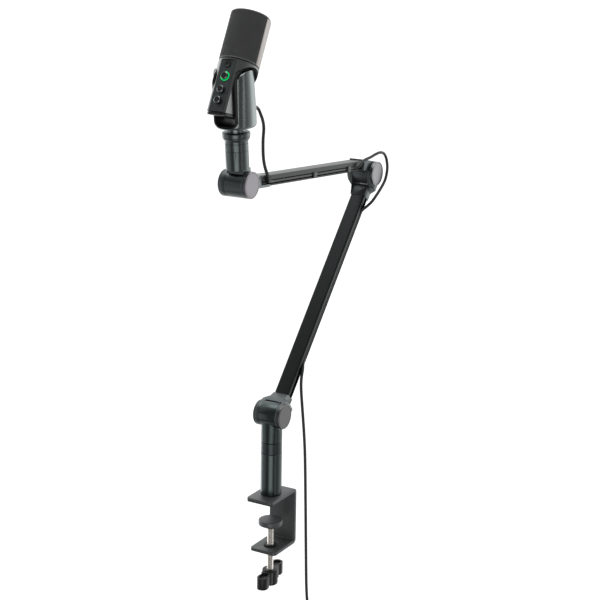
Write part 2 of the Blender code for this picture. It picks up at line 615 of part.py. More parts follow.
def u_outline(half, floor, corner, top):
    """A U's outline: straight sides and round lower corners."""
    left = arc((-half + corner, floor + corner), corner, 180, 270, 5)
    right = arc((half - corner, floor + corner), corner, 270, 360, 5)
    return [(-half, top)] + left + right + [(half, top)]


def make_yoke(post):
    """Yoke with two arched arms, its rubber liner and the pivot pins."""
    bore = STUD_RADIUS + GAP
    top = PIVOT_HEIGHT + ARCH_RADIUS + 0.002
    r = YOKE_RADIUS
    body = [(0, top), (YOKE_TIP_RADIUS, top), (r, 0.085), (r, YOKE_FLOOR + 0.003), (r - 0.0012, YOKE_FLOOR + 0.0011),
            (r - 0.0040, YOKE_FLOOR), (YOKE_NECK, YOKE_FLOOR), (YOKE_NECK, YOKE_FOOT), (bore, YOKE_FOOT),
            (bore, YOKE_FLOOR - 0.0002), (0, YOKE_FLOOR - 0.0002)]
    yoke = turned("yoke", body, post, "anthracite", sides=32)
    window = u_outline(WINDOW_HALF, WINDOW_FLOOR, WINDOW_CORNER, top + 0.01)
    boolean(yoke, prism("yoke_window", [window], -0.03, 0.03, post, axis="X"))
    boolean(yoke, arch_cut("yoke_arch", ARCH_RADIUS, post))
    pivot = (-PIVOT_FORWARD, 0, PIVOT_HEIGHT)
    boolean(yoke, rod("yoke_pivot_bore", PIVOT_RADIUS + GAP, -0.0205, 0.0205, post, axis="Y", at=pivot))
    outer = u_outline(WINDOW_HALF - GAP, WINDOW_FLOOR + GAP, WINDOW_CORNER - GAP, top + 0.004)
    inner = u_outline(LINER_HALF, WINDOW_FLOOR + 0.0019, 0.0056, top + 0.004)
    liner = prism("yoke_liner", [outer + inner[::-1]], -0.0218, 0.0157, post, "rubber", "X")
    boolean(liner, arch_cut("liner_arch", LINER_ARCH, post))
    boolean(liner, rod("liner_pivot_bore", PIVOT_RADIUS + GAP, -0.03, 0.03, post, axis="Y", at=pivot))
    rod("pivot_pin_near", PIVOT_RADIUS, -0.0200, -0.0092, post, "steel", "Y", pivot)
    rod("pivot_pin_far", PIVOT_RADIUS, 0.0092, 0.0200, post, "steel", "Y", pivot)


# ---------------------------------------------------------------- microphone
def wedge(half_angle, front, radius):
    """A sector of a circle around -X, or the rest of the circle."""
    degrees = math.degrees(half_angle)
    start, end = (180 - degrees, 180 + degrees) if front else (degrees - 180, 180 - degrees)
    return [(0, 0)] + arc((0, 0), radius, start, end, 12)


def make_body(mic, seam):
    """Body shell with its side recesses, the bottom cap and the rear socket."""
    r = MIC_RADIUS
    body = turned("mic_body", [(0, HEM - GAP), (r, HEM - GAP), (r, -0.045), (0, -0.045)], mic, "anthracite", sides=32)
    recess = [(RECESS_RADIUS, 0)] + arc((0, 0), RECESS_RADIUS, 0, 180, 12)[1:] + [
        (-RECESS_RADIUS, 0), (-0.03, 0), (-0.03, -0.06), (0.03, -0.06), (0.03, 0)]
    boolean(body, prism("recess_near", [recess], -0.03, -TONGUE_HALF, mic, axis="Y"))
    boolean(body, prism("recess_far", [recess], TONGUE_HALF, 0.03, mic, axis="Y"))
    boolean(body, box("panel_room", (-0.03, -PANEL_HALF - GAP, -0.06),
                      (-PANEL_FRONT + PANEL_THICK + GAP, PANEL_HALF + GAP, PANEL_TOP + GAP), mic))
    boolean(body, box("body_hollow", (-0.03, -0.0083, -0.0285), (0.0170, 0.0083, 0.0205), mic))
    boolean(body, rod("body_neck", 0.0090, 0.015, 0.03, mic))
    boolean(body, rod("body_pivot_bore", PIVOT_RADIUS + GAP, -0.02, 0.02, mic, axis="Y"))
    boolean(body, box("socket_room", (0.014, -0.0048, SOCKET_HEIGHT - 0.0020), (0.03, 0.0048, SOCKET_HEIGHT + 0.0020),
                      mic))
    boolean(body, box("seam_cut", (-0.05, -0.05, -0.05), (0.05, 0.05, GAP / 2), seam))
    half, r = TONGUE_HALF - 0.0001, MIC_RADIUS - 0.0002
    angle = math.degrees(math.asin(half / r))
    front = [(-math.sqrt(r * r - y * y) if abs(y) > PANEL_HALF else -PANEL_FRONT, y)
             for y in (half, 0.0108, PANEL_HALF, -PANEL_HALF, -0.0108, -half)]
    outline = front + arc((0, 0), r, -angle, angle, 6)
    cap = prism("bottom_cap", [outline], -CAP_DROP, -GAP / 2, seam, "black_plastic")
    bevel(cap, 0.0007)
    socket = box("usb_socket", (0.0140, -0.0045, SOCKET_HEIGHT - 0.0017), (0.0228, 0.0045, SOCKET_HEIGHT + 0.0017),
                 mic, "steel")
    boolean(socket, box("socket_mouth", (0.0150, -0.0041, SOCKET_HEIGHT - 0.0013),
                        (0.03, 0.0041, SOCKET_HEIGHT + 0.0013), mic))
    box("circuit_board", (-0.0132, -0.0078, -0.0270), (-0.0120, 0.0078, 0.0195), mic, "board_green")


def make_controls(mic):
    """Front panel with the mute button, three knobs and the light ring around the first."""
    low = (-PANEL_FRONT, -PANEL_HALF, -SEAM_DROP - 0.0042)
    panel = box("control_panel", low, (-PANEL_FRONT + PANEL_THICK, PANEL_HALF, PANEL_TOP), mic, "anthracite")
    holes = {"mute": (MUTE_HEIGHT, 0.0039), "gain": (GAIN_HEIGHT, 0.0057), "mix": (MIX_HEIGHT, 0.0019),
             "volume": (VOLUME_HEIGHT, 0.0019)}
    for name, (height, radius) in holes.items():
        boolean(panel, rod(name + "_hole", radius, -0.03, -0.015, mic, axis="X", at=(0, 0, height)))
    rod("mute_button", 0.0036, -PANEL_FRONT - 0.0008, -0.0188, mic, "black_plastic", "X", (0, 0, MUTE_HEIGHT))
    washer("gain_light_ring", 0.0046, 0.0054, -PANEL_FRONT - 0.0004, -PANEL_FRONT + 0.0013, mic, "light_guide", "X",
           (0, 0, GAIN_HEIGHT))
    for name, radius, height, proud in (("gain_knob", 0.0042, GAIN_HEIGHT, 0.0024),
                                        ("mix_knob", 0.0041, MIX_HEIGHT, 0.0034),
                                        ("volume_knob", 0.0041, VOLUME_HEIGHT, 0.0040)):
        foot, face, shaft = -PANEL_FRONT - 0.0004, -PANEL_FRONT - proud, 0.0015
        profile = [(0, -0.0136), (shaft, -0.0136), (shaft, foot), (radius, foot), (radius, face + 0.0006),
                   (radius - 0.0006, face), (0, face)]
        turned(name, profile, mic, "black_plastic", "X", (0, 0, height), SMALL_ROUND)


def make_head(mic):
    """Head base with the capsule's stem, the capsule, the grille and the rear shell."""
    r, wall = MIC_RADIUS, GRILLE_WALL
    inner = r - wall
    base = [(0, 0.0485), (0.0045, 0.0485), (0.0055, HEM + 0.003), (inner - GAP, HEM + 0.003),
            (inner - GAP, HEM + 2 * GAP), (r - 0.0006, HEM + 2 * GAP), (r - 0.0006, HEM), (0, HEM)]
    turned("head_base", base, mic, "black_plastic")
    rod("capsule", 0.0085, -0.0030, 0.0030, mic, "gold_film", "X", (0, 0, 0.0575), ROUND)
    low, top, soft = HEM + 3 * GAP, HEAD_TOP, 0.0022
    cup = [(0, top), (r - soft, top), (r - 0.3 * soft, top - 0.3 * soft), (r, top - soft), (r, low), (inner, low),
           (inner, top - wall), (0, top - wall)]
    grille = turned("grille", cup, mic, "mesh_black", sides=32)
    back = top - soft
    boolean(grille, prism("grille_cut", [wedge(GRILLE_HALF_ANGLE, False, 0.035)], 0.01, back, mic))
    shell = washer("head_back_shell", inner, r, low, back - GAP, mic, "anthracite", sides=32)
    boolean(shell, prism("shell_cut", [wedge(GRILLE_HALF_ANGLE + 0.012, True, 0.035)], 0.01, top, mic))


def make_microphone(post):
    """The microphone and its plug, tilted back on the yoke's pivot."""
    mic = frame("mic_frame", (-PIVOT_FORWARD, 0, PIVOT_HEIGHT), MIC_TILT + POST_LEAN, post)
    seam = frame("seam_frame", (0, 0, -SEAM_DROP), -SEAM_TILT, mic)
    make_body(mic, seam)
    make_controls(mic)
    make_head(mic)
    height = SOCKET_HEIGHT
    plug = box("mic_plug", (PLUG_START, -0.0055, height - 0.0033), (PLUG_END, 0.0055, height + 0.0033), mic,
               "black_plastic")
    bevel(plug, 0.0012)
    boolean(plug, box("mic_plug_tip", (0.0165, -0.0038, height - 0.0010), (0.0260, 0.0038, height + 0.0010), mic),
            "UNION")
    relief = [(0, RELIEF_END), (0.0024, RELIEF_END), (0.0030, PLUG_END - 0.002), (0, PLUG_END - 0.002)]
    boolean(plug, turned("mic_plug_relief", relief, mic, axis="X", at=(0, 0, height), sides=12), "UNION")


# ---------------------------------------------------------------- cable
def lower_slot(along):
    """A point of the cable in the lower arm's slot, so far from the shoulder pin."""
    turn = Matrix.Rotation(LOWER_LEAN, 3, "Y")
    return Vector((0, 0, SHOULDER_HEIGHT)) + turn @ Vector((LOWER_OFFSET + SLOT_SHIFT, CABLE_Y, along))


def upper_slot(along):
    """A point of the cable in the upper arm's slot, so far from the elbow pin."""
    turn = Matrix.Rotation(UPPER_RISE - math.pi / 2, 3, "Y")
    skew = Matrix.Rotation(-math.atan2(UPPER_OFFSET, UPPER_LENGTH), 3, "Y")
    return ELBOW + turn @ (Vector((UPPER_OFFSET, 0, 0)) + skew @ Vector((-SLOT_SHIFT, CABLE_Y, along)))


def plug_exit(beyond):
    """A point so far beyond the strain relief of the microphone's plug."""
    lean = Matrix.Rotation(-POST_LEAN, 3, "Y")
    tilt = Matrix.Rotation(MIC_TILT, 3, "Y")
    pivot = WRIST + lean @ Vector((-PIVOT_FORWARD, 0, PIVOT_HEIGHT))
    return pivot + tilt @ Vector((RELIEF_END + beyond, 0, SOCKET_HEIGHT))


def make_cable():
    """The free and held stretches of the cable, its coil and its far plug."""
    upper, lower = UPPER_RUN, LOWER_RUN
    drop = [plug_exit(2 * GAP), plug_exit(LEAD / 2)] + DROP_ROUTE + [upper_slot(upper[1] + LEAD), upper_slot(upper[1])]
    cable("cable_drop", smooth_route(drop, CABLE_STEP))
    loop = [upper_slot(upper[0]), upper_slot(upper[0] - LEAD)] + ELBOW_ROUTE + [
        lower_slot(lower[1] + LEAD), lower_slot(lower[1])]
    cable("cable_elbow_loop", smooth_route(loop, CABLE_STEP))
    tail = [lower_slot(lower[0]), lower_slot(lower[0] - LEAD)] + TAIL_ROUTE
    cable("cable_tail", smooth_route(tail, CABLE_STEP))
    cable("cable_upper_run", [upper_slot(upper[0] + GAP), upper_slot(upper[1] - GAP)])
    cable("cable_lower_run", [lower_slot(lower[0] + GAP), lower_slot(lower[1] - GAP)])
    low, high = 0.0, COIL_HEIGHT
    bulge = 0.0025
    ring = [(COIL_OUTER - bulge, high), (COIL_OUTER, high - bulge), (COIL_OUTER, low + bulge), (COIL_OUTER - bulge, low),
            (COIL_INNER + bulge, low), (COIL_INNER, low + bulge), (COIL_INNER, high - bulge),
            (COIL_INNER + bulge, high)]
    turned("cable_coil", ring, None, "cable_sheath", at=COIL_CENTRE, ring=True)
    x, y = COIL_CENTRE.x - 0.024, COIL_CENTRE.y
    z = FLOOR + COIL_HEIGHT + 0.0027 + GAP
    plug = box("usb_plug", (x - 0.006, y - 0.018, z - 0.0026), (x + 0.006, y + 0.010, z + 0.0026), None, "black_plastic")
    bevel(plug, 0.0010)
    boolean(plug, box("usb_plug_tip", (x - 0.0045, y + 0.008, z - 0.0013), (x + 0.0045, y + 0.0165, z + 0.0013), None),
            "UNION")


def shade():
    """Smooth shading with crisp edges on the round pieces."""
    for obj in PARTS.objects:
        if obj.type == "MESH":
            obj.data.shade_smooth()


make_clamp()
make_column()
make_turret()
make_lower_arm()
make_upper_arm()
POST = frame("post_frame", WRIST, -POST_LEAN)
make_post(POST)
make_yoke(POST)
make_microphone(POST)
make_cable()
shade()
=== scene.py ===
"""The looks of a USB condenser microphone on a yoke, a self-locking arm and a desk clamp.

Metres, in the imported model's frame: +Z up, the origin on the clamp's desk face, the arm in the XZ plane.
"""

import json
from math import acos, asin, atan2, cos, degrees, hypot, pi, radians, sin, sqrt

import bmesh
import bpy
from mathutils import Matrix, Vector
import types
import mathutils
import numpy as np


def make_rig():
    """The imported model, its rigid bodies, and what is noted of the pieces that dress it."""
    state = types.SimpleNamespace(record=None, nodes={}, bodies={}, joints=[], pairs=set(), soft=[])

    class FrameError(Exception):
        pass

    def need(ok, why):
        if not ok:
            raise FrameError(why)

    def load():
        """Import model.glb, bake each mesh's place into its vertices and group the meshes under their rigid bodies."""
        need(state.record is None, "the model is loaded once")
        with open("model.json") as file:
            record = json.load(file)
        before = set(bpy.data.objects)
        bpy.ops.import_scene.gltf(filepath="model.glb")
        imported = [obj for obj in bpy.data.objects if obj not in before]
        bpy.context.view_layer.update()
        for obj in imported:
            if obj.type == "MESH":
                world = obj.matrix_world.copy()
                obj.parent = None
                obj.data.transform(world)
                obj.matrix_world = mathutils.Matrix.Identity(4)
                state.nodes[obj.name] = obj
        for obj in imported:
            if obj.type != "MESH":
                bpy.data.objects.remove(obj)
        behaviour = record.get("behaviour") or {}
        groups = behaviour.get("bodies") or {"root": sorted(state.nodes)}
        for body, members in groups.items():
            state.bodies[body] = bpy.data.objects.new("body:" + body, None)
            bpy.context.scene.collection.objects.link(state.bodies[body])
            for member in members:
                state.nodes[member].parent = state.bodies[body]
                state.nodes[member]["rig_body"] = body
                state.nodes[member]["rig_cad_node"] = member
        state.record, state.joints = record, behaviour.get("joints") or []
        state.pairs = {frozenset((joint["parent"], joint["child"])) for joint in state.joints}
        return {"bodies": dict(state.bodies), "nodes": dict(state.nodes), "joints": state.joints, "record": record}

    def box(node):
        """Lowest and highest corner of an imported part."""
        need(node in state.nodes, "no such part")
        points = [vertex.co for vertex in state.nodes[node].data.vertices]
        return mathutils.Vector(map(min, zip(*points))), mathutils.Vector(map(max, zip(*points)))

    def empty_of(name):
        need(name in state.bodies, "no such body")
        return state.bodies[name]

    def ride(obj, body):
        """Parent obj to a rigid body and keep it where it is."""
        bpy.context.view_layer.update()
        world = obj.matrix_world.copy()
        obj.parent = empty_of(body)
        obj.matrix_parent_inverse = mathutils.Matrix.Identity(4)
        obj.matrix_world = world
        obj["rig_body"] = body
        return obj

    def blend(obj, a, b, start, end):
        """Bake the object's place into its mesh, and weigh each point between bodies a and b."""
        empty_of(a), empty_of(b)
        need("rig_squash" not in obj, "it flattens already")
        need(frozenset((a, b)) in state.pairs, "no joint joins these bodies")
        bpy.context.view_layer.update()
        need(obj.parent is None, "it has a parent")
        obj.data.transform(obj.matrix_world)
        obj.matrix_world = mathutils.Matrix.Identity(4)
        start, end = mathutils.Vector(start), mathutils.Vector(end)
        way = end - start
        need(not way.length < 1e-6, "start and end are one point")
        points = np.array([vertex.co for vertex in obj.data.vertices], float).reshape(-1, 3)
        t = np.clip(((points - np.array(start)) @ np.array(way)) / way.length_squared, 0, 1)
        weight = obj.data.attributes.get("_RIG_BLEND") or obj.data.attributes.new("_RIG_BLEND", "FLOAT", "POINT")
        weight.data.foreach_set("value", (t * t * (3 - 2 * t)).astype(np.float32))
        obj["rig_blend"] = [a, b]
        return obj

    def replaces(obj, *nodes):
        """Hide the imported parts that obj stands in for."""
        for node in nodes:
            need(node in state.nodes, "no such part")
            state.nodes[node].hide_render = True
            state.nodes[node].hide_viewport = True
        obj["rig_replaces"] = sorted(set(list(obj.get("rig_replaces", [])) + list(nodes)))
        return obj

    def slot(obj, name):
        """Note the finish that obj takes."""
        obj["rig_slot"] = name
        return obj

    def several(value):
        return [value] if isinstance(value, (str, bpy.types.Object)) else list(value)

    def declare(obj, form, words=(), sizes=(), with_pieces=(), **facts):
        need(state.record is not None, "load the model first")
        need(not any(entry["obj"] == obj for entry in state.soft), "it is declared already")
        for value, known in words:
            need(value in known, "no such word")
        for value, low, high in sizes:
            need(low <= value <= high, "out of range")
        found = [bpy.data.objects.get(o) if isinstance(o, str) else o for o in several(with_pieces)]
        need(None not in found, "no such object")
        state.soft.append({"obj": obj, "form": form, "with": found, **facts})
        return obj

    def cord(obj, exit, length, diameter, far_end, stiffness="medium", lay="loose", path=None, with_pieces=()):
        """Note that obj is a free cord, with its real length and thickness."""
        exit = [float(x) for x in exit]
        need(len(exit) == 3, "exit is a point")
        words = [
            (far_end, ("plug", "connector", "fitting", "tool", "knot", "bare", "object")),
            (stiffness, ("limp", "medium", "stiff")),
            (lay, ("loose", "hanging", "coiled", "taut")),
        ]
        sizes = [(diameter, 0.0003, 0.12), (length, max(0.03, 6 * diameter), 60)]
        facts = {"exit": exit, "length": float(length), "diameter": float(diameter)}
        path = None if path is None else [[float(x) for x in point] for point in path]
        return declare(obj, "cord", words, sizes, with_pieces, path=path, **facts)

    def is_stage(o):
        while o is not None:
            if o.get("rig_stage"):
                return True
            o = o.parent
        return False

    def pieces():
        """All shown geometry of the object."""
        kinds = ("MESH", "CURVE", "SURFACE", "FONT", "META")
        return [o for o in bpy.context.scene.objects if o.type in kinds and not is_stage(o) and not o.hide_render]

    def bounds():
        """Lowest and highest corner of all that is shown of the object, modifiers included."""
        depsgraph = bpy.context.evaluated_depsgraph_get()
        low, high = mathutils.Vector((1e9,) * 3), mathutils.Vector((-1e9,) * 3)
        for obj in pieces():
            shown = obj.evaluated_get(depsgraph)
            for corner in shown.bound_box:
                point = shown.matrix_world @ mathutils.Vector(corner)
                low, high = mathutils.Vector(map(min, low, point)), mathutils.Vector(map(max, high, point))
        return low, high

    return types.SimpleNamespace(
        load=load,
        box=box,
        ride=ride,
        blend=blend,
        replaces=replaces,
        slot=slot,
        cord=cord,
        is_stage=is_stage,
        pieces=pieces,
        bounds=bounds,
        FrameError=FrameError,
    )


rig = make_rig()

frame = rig.load()
CAD_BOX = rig.bounds()

# ---------------- places, from the frame
JOINTS = {joint["name"]: joint for joint in frame["joints"]}


def pivot_of(joint):
    """The point that a joint turns about."""
    return Vector(JOINTS[joint]["pos_m"])


SHOULDER = pivot_of("shoulder_tilt")
ELBOW = pivot_of("elbow_tilt")
WRIST = pivot_of("wrist_tilt")
PIVOT = pivot_of("mic_tilt")
POST_AXIS = Vector(JOINTS["mic_swivel"]["axis"])
FRONT = Vector(JOINTS["gain_turn"]["axis"])
LOWER_LENGTH = (ELBOW - SHOULDER).length
UPPER_LENGTH = (WRIST - ELBOW).length


def lean(direction):
    """The turn about Y that takes +Z to a direction."""
    return atan2(direction.x, direction.z)


def at(point, turn=0.0):
    """A frame at a point, turned about Y."""
    return Matrix.Translation(point) @ Matrix.Rotation(turn, 4, "Y")


UPPER_OFFSET = 0.0118
LOWER_OFFSET = 0.0095
SKEW = -atan2(UPPER_OFFSET, UPPER_LENGTH)
RUN_LENGTH = hypot(UPPER_OFFSET, UPPER_LENGTH)
HERE = Matrix.Identity(4)
AT_SHOULDER = at(SHOULDER)
LOWER = at(SHOULDER, lean(ELBOW - SHOULDER))
LOWER_TUBE = LOWER @ at((LOWER_OFFSET, 0, 0))
HEAD = LOWER @ at((0, 0, LOWER_LENGTH), pi)
UPPER = at(ELBOW, lean(WRIST - ELBOW))
RUN = UPPER @ at((UPPER_OFFSET, 0, 0), SKEW)
TIP = RUN @ at((0, 0, RUN_LENGTH), pi)
POST = at(WRIST, lean(POST_AXIS))
MIC = at(PIVOT, lean(FRONT) + pi / 2)

# ---------------- sizes
GAP = 0.0003
ROUND = 96
CLAMP_HALF_WIDTH = 0.0186
PLATE_THICK = 0.0043
TOP_PLATE_Z = 0.0012
TOP_PLATE_X = -0.0295
BACK_PLATE_X = 0.0325
BOTTOM_PLATE_Z = -0.0650
BOTTOM_PLATE_X = -0.0200
PAD_TOP = -0.0300
PAD_RADIUS = 0.0153
PAD_BASE = -0.0365
SCREW_RADIUS = 0.0040
SCREW_PITCH = 0.00125
SCREW_END = -0.1120
HANDLE_TOP = -0.0973
HANDLE_BASE = -0.1180
HANDLE_TURN = radians(9.6)
COLUMN_RADIUS = 0.0133
COLUMN_FOOT = 0.0058
RING_FOOT = 0.0605
TURRET_FOOT = 0.0751
DRUM_RADIUS = 0.01575
DRUM_END = 0.01905
KNUCKLE_NEAR = -0.0126
KNUCKLE_FAR = 0.0096
CHEEK_OUTER = 0.0162
WEB_START = 0.0164
TAPER_START = 0.0168
NEAR_ROOM = 0.0175
FAR_ROOM = 0.0220
PIN_RADIUS = 0.0040
WASHER_RADIUS = 0.0090
WASHER_THICK = 0.00085
TUBE_WIDTH = 0.0200
TUBE_DEPTH = 0.0130
TUBE_CORNER = 0.0022
SLOT_WIDTH = 0.0050
SLOT_DEPTH = 0.0046
SLOT_SHIFT = 0.0015
PLUG_LENGTH = 0.020
FOOT_REACH = 0.0300
HEAD_REACH = 0.0331
ELBOW_REACH = 0.0290
WRIST_REACH = 0.0540
WRIST_CHEEK = 0.0245
POST_RADIUS = 0.0135
POST_FOOT = 0.0178
POST_TOP = 0.0552
COLLAR_RADIUS = 0.0162
COLLAR_TOP = 0.0609
STUD_RADIUS = 0.0049
YOKE_NECK = 0.0113
YOKE_FOOT = 0.0613
YOKE_FLOOR = 0.0665
YOKE_RADIUS = 0.0240
YOKE_TIP_RADIUS = 0.0224
WINDOW_HALF = 0.0154
WINDOW_FLOOR = 0.0685
WINDOW_CORNER = 0.0080
PIVOT_HEIGHT = 0.1134
PIVOT_FORWARD = 0.0013
ARCH_RADIUS = 0.0183
LINER_HALF = 0.0127
LINER_ARCH = 0.0213
PIVOT_RADIUS = 0.0035
MIC_RADIUS = 0.0235
TONGUE_HALF = 0.0123
RECESS_RADIUS = 0.0219
HEM = 0.0245
HEAD_TOP = 0.0835
HEAD_SOFT = 0.0022
GRILLE_WALL = 0.0013
GRILLE_HALF_ANGLE = radians(82.5)
PANEL_FRONT = 0.0216
PANEL_THICK = 0.0014
PANEL_HALF = 0.0093
PANEL_TOP = 0.0222
SEAM_TILT = radians(13.1)
SEAM_DROP = 0.0341
CAP_DROP = 0.0033
MUTE_HEIGHT = 0.0169
GAIN_HEIGHT = 0.0031
MIX_HEIGHT = -0.0130
VOLUME_HEIGHT = -0.0258
SOCKET_HEIGHT = -0.0050
PLUG_START = 0.0239
PLUG_END = 0.0380
RELIEF_END = 0.0430
SEAM = MIC @ at((0, 0, -SEAM_DROP), -SEAM_TILT)

CABLE_RADIUS = 0.0019
CABLE_Y = -0.0081
FLOOR = -0.2150
LEAD = 0.0135
UPPER_RUN = (0.0655, 0.2355)
LOWER_RUN = (0.1020, 0.2765)
DROP_ROUTE = [(-0.0425, 0.0002, 0.4952), (-0.0375, 0.0000, 0.4920), (-0.0344, -0.0006, 0.4865),
    (-0.0322, -0.0024, 0.4790), (-0.0326, -0.0042, 0.4700), (-0.0369, -0.0060, 0.4572),
    (-0.0392, -0.0075, 0.4450), (-0.0402, -0.0090, 0.4342), (-0.0398, -0.0110, 0.4250),
    (-0.0365, -0.0126, 0.4158), (-0.0315, -0.0112, 0.4085), (-0.0240, -0.0090, 0.40665)]
ELBOW_ROUTE = [(0.1850, -0.0100, 0.3933), (0.1885, -0.0126, 0.3943), (0.1915, -0.0138, 0.3968),
    (0.1955, -0.0146, 0.4002), (0.2035, -0.0158, 0.4026), (0.2125, -0.0174, 0.4040),
    (0.2220, -0.0196, 0.4068), (0.2330, -0.0216, 0.4084), (0.2425, -0.0224, 0.4055),
    (0.2495, -0.0225, 0.3980), (0.2530, -0.0225, 0.3870), (0.2518, -0.0224, 0.3770),
    (0.2468, -0.0222, 0.3680), (0.2350, -0.0215, 0.3580), (0.2222, -0.0200, 0.3482),
    (0.2175, -0.0176, 0.3432), (0.2120, -0.0135, 0.3378), (0.2064, -0.0102, 0.3335)]
TAIL_ROUTE = [(0.0600, -0.0093, 0.1630), (0.0548, -0.0118, 0.1562), (0.0510, -0.0126, 0.1485),
    (0.0497, -0.0126, 0.1400), (0.0508, -0.0123, 0.1280), (0.0535, -0.0120, 0.1130),
    (0.0572, -0.0118, 0.0920), (0.0613, -0.0115, 0.0680), (0.0659, -0.0110, 0.0333),
    (0.0703, -0.0105, -0.0310), (0.0736, -0.0105, -0.1000), (0.0752, -0.0112, -0.1500),
    (0.0756, -0.0130, -0.1740), (0.0758, -0.0155, -0.1880), (0.0752, -0.0195, -0.1960)]
COIL_CENTRE = Vector((0.0500, -0.0250, FLOOR))
COIL_TURNS = 12
COIL_LAYERS = 4
COIL_FIRST_RADIUS = 0.0276
COIL_PITCH = 0.0039

# ---------------- materials
LOOKS = {}


def feed(tree, made, inputs):
    """Give a shader node's inputs their values: numbers, or other nodes' outputs."""
    for key, value in inputs.items():
        if isinstance(value, bpy.types.NodeSocket):
            tree.links.new(value, made.inputs[key])
        else:
            made.inputs[key].default_value = value


def wired(tree, kind, result, inputs, **settings):
    """The output of a new shader node with these inputs and settings."""
    made = tree.nodes.new("ShaderNode" + kind)
    for key, value in settings.items():
        setattr(made, key, value)
    feed(tree, made, inputs)
    return made.outputs[result]


def look(name, colour, roughness, metallic=0.0, grain=1500.0, bump=0.05, mottle=0.06, stretch=(1, 1, 1),
        slot=None, coat=0.0, depth=0.00002):
    """A Principled material with fine grain in the bump, and slow changes of colour and roughness."""
    made = bpy.data.materials.new(name)
    made.use_nodes = True
    tree = made.node_tree
    spot = wired(tree, "TexCoord", "Object", {})
    fit = wired(tree, "Mapping", "Vector", {"Vector": spot, "Scale": stretch})
    slow = wired(tree, "TexNoise", "Fac", {"Vector": fit, "Scale": 60.0, "Detail": 4.0})
    fine = wired(tree, "TexNoise", "Fac", {"Vector": fit, "Scale": grain, "Detail": 3.0})
    dark, light = [(*[min(1, c * (1 + change)) for c in colour], 1) for change in (-mottle, mottle)]
    tint = wired(tree, "Mix", "Result", {"Factor": slow, "A": dark, "B": light}, data_type="RGBA")
    low, high = max(0.02, roughness - 0.03), min(1.0, roughness + 0.03)
    spread = wired(tree, "MapRange", "Result", {"Value": fine, "To Min": low, "To Max": high})
    relief = wired(tree, "Bump", "Normal", {"Height": fine, "Strength": bump, "Distance": depth})
    feed(tree, tree.nodes["Principled BSDF"], {"Metallic": metallic, "Coat Weight": coat, "Base Color": tint,
        "Roughness": spread, "Normal": relief})
    LOOKS[name] = (made, slot)
    return made


def turned_face(name, colour, roughness, centre, slot):
    """Metal faced on a lathe: fine rings about a point, on a disc that faces -Y."""
    tree = look(name, colour, roughness, 1.0, grain=900.0, bump=0.04, slot=slot).node_tree
    spot = wired(tree, "TexCoord", "Object", {})
    move = wired(tree, "Mapping", "Vector", {"Vector": spot, "Location": [-c for c in centre]})
    rings = wired(tree, "TexWave", "Fac", {"Vector": move, "Scale": 700.0, "Distortion": 0.4},
        wave_type="RINGS", rings_direction="Y")
    shader = tree.nodes["Principled BSDF"]
    grain = shader.inputs["Normal"].links[0].from_socket
    cut = wired(tree, "Bump", "Normal", {"Height": rings, "Normal": grain, "Strength": 0.12,
        "Distance": 0.00005})
    feed(tree, shader, {"Normal": cut})


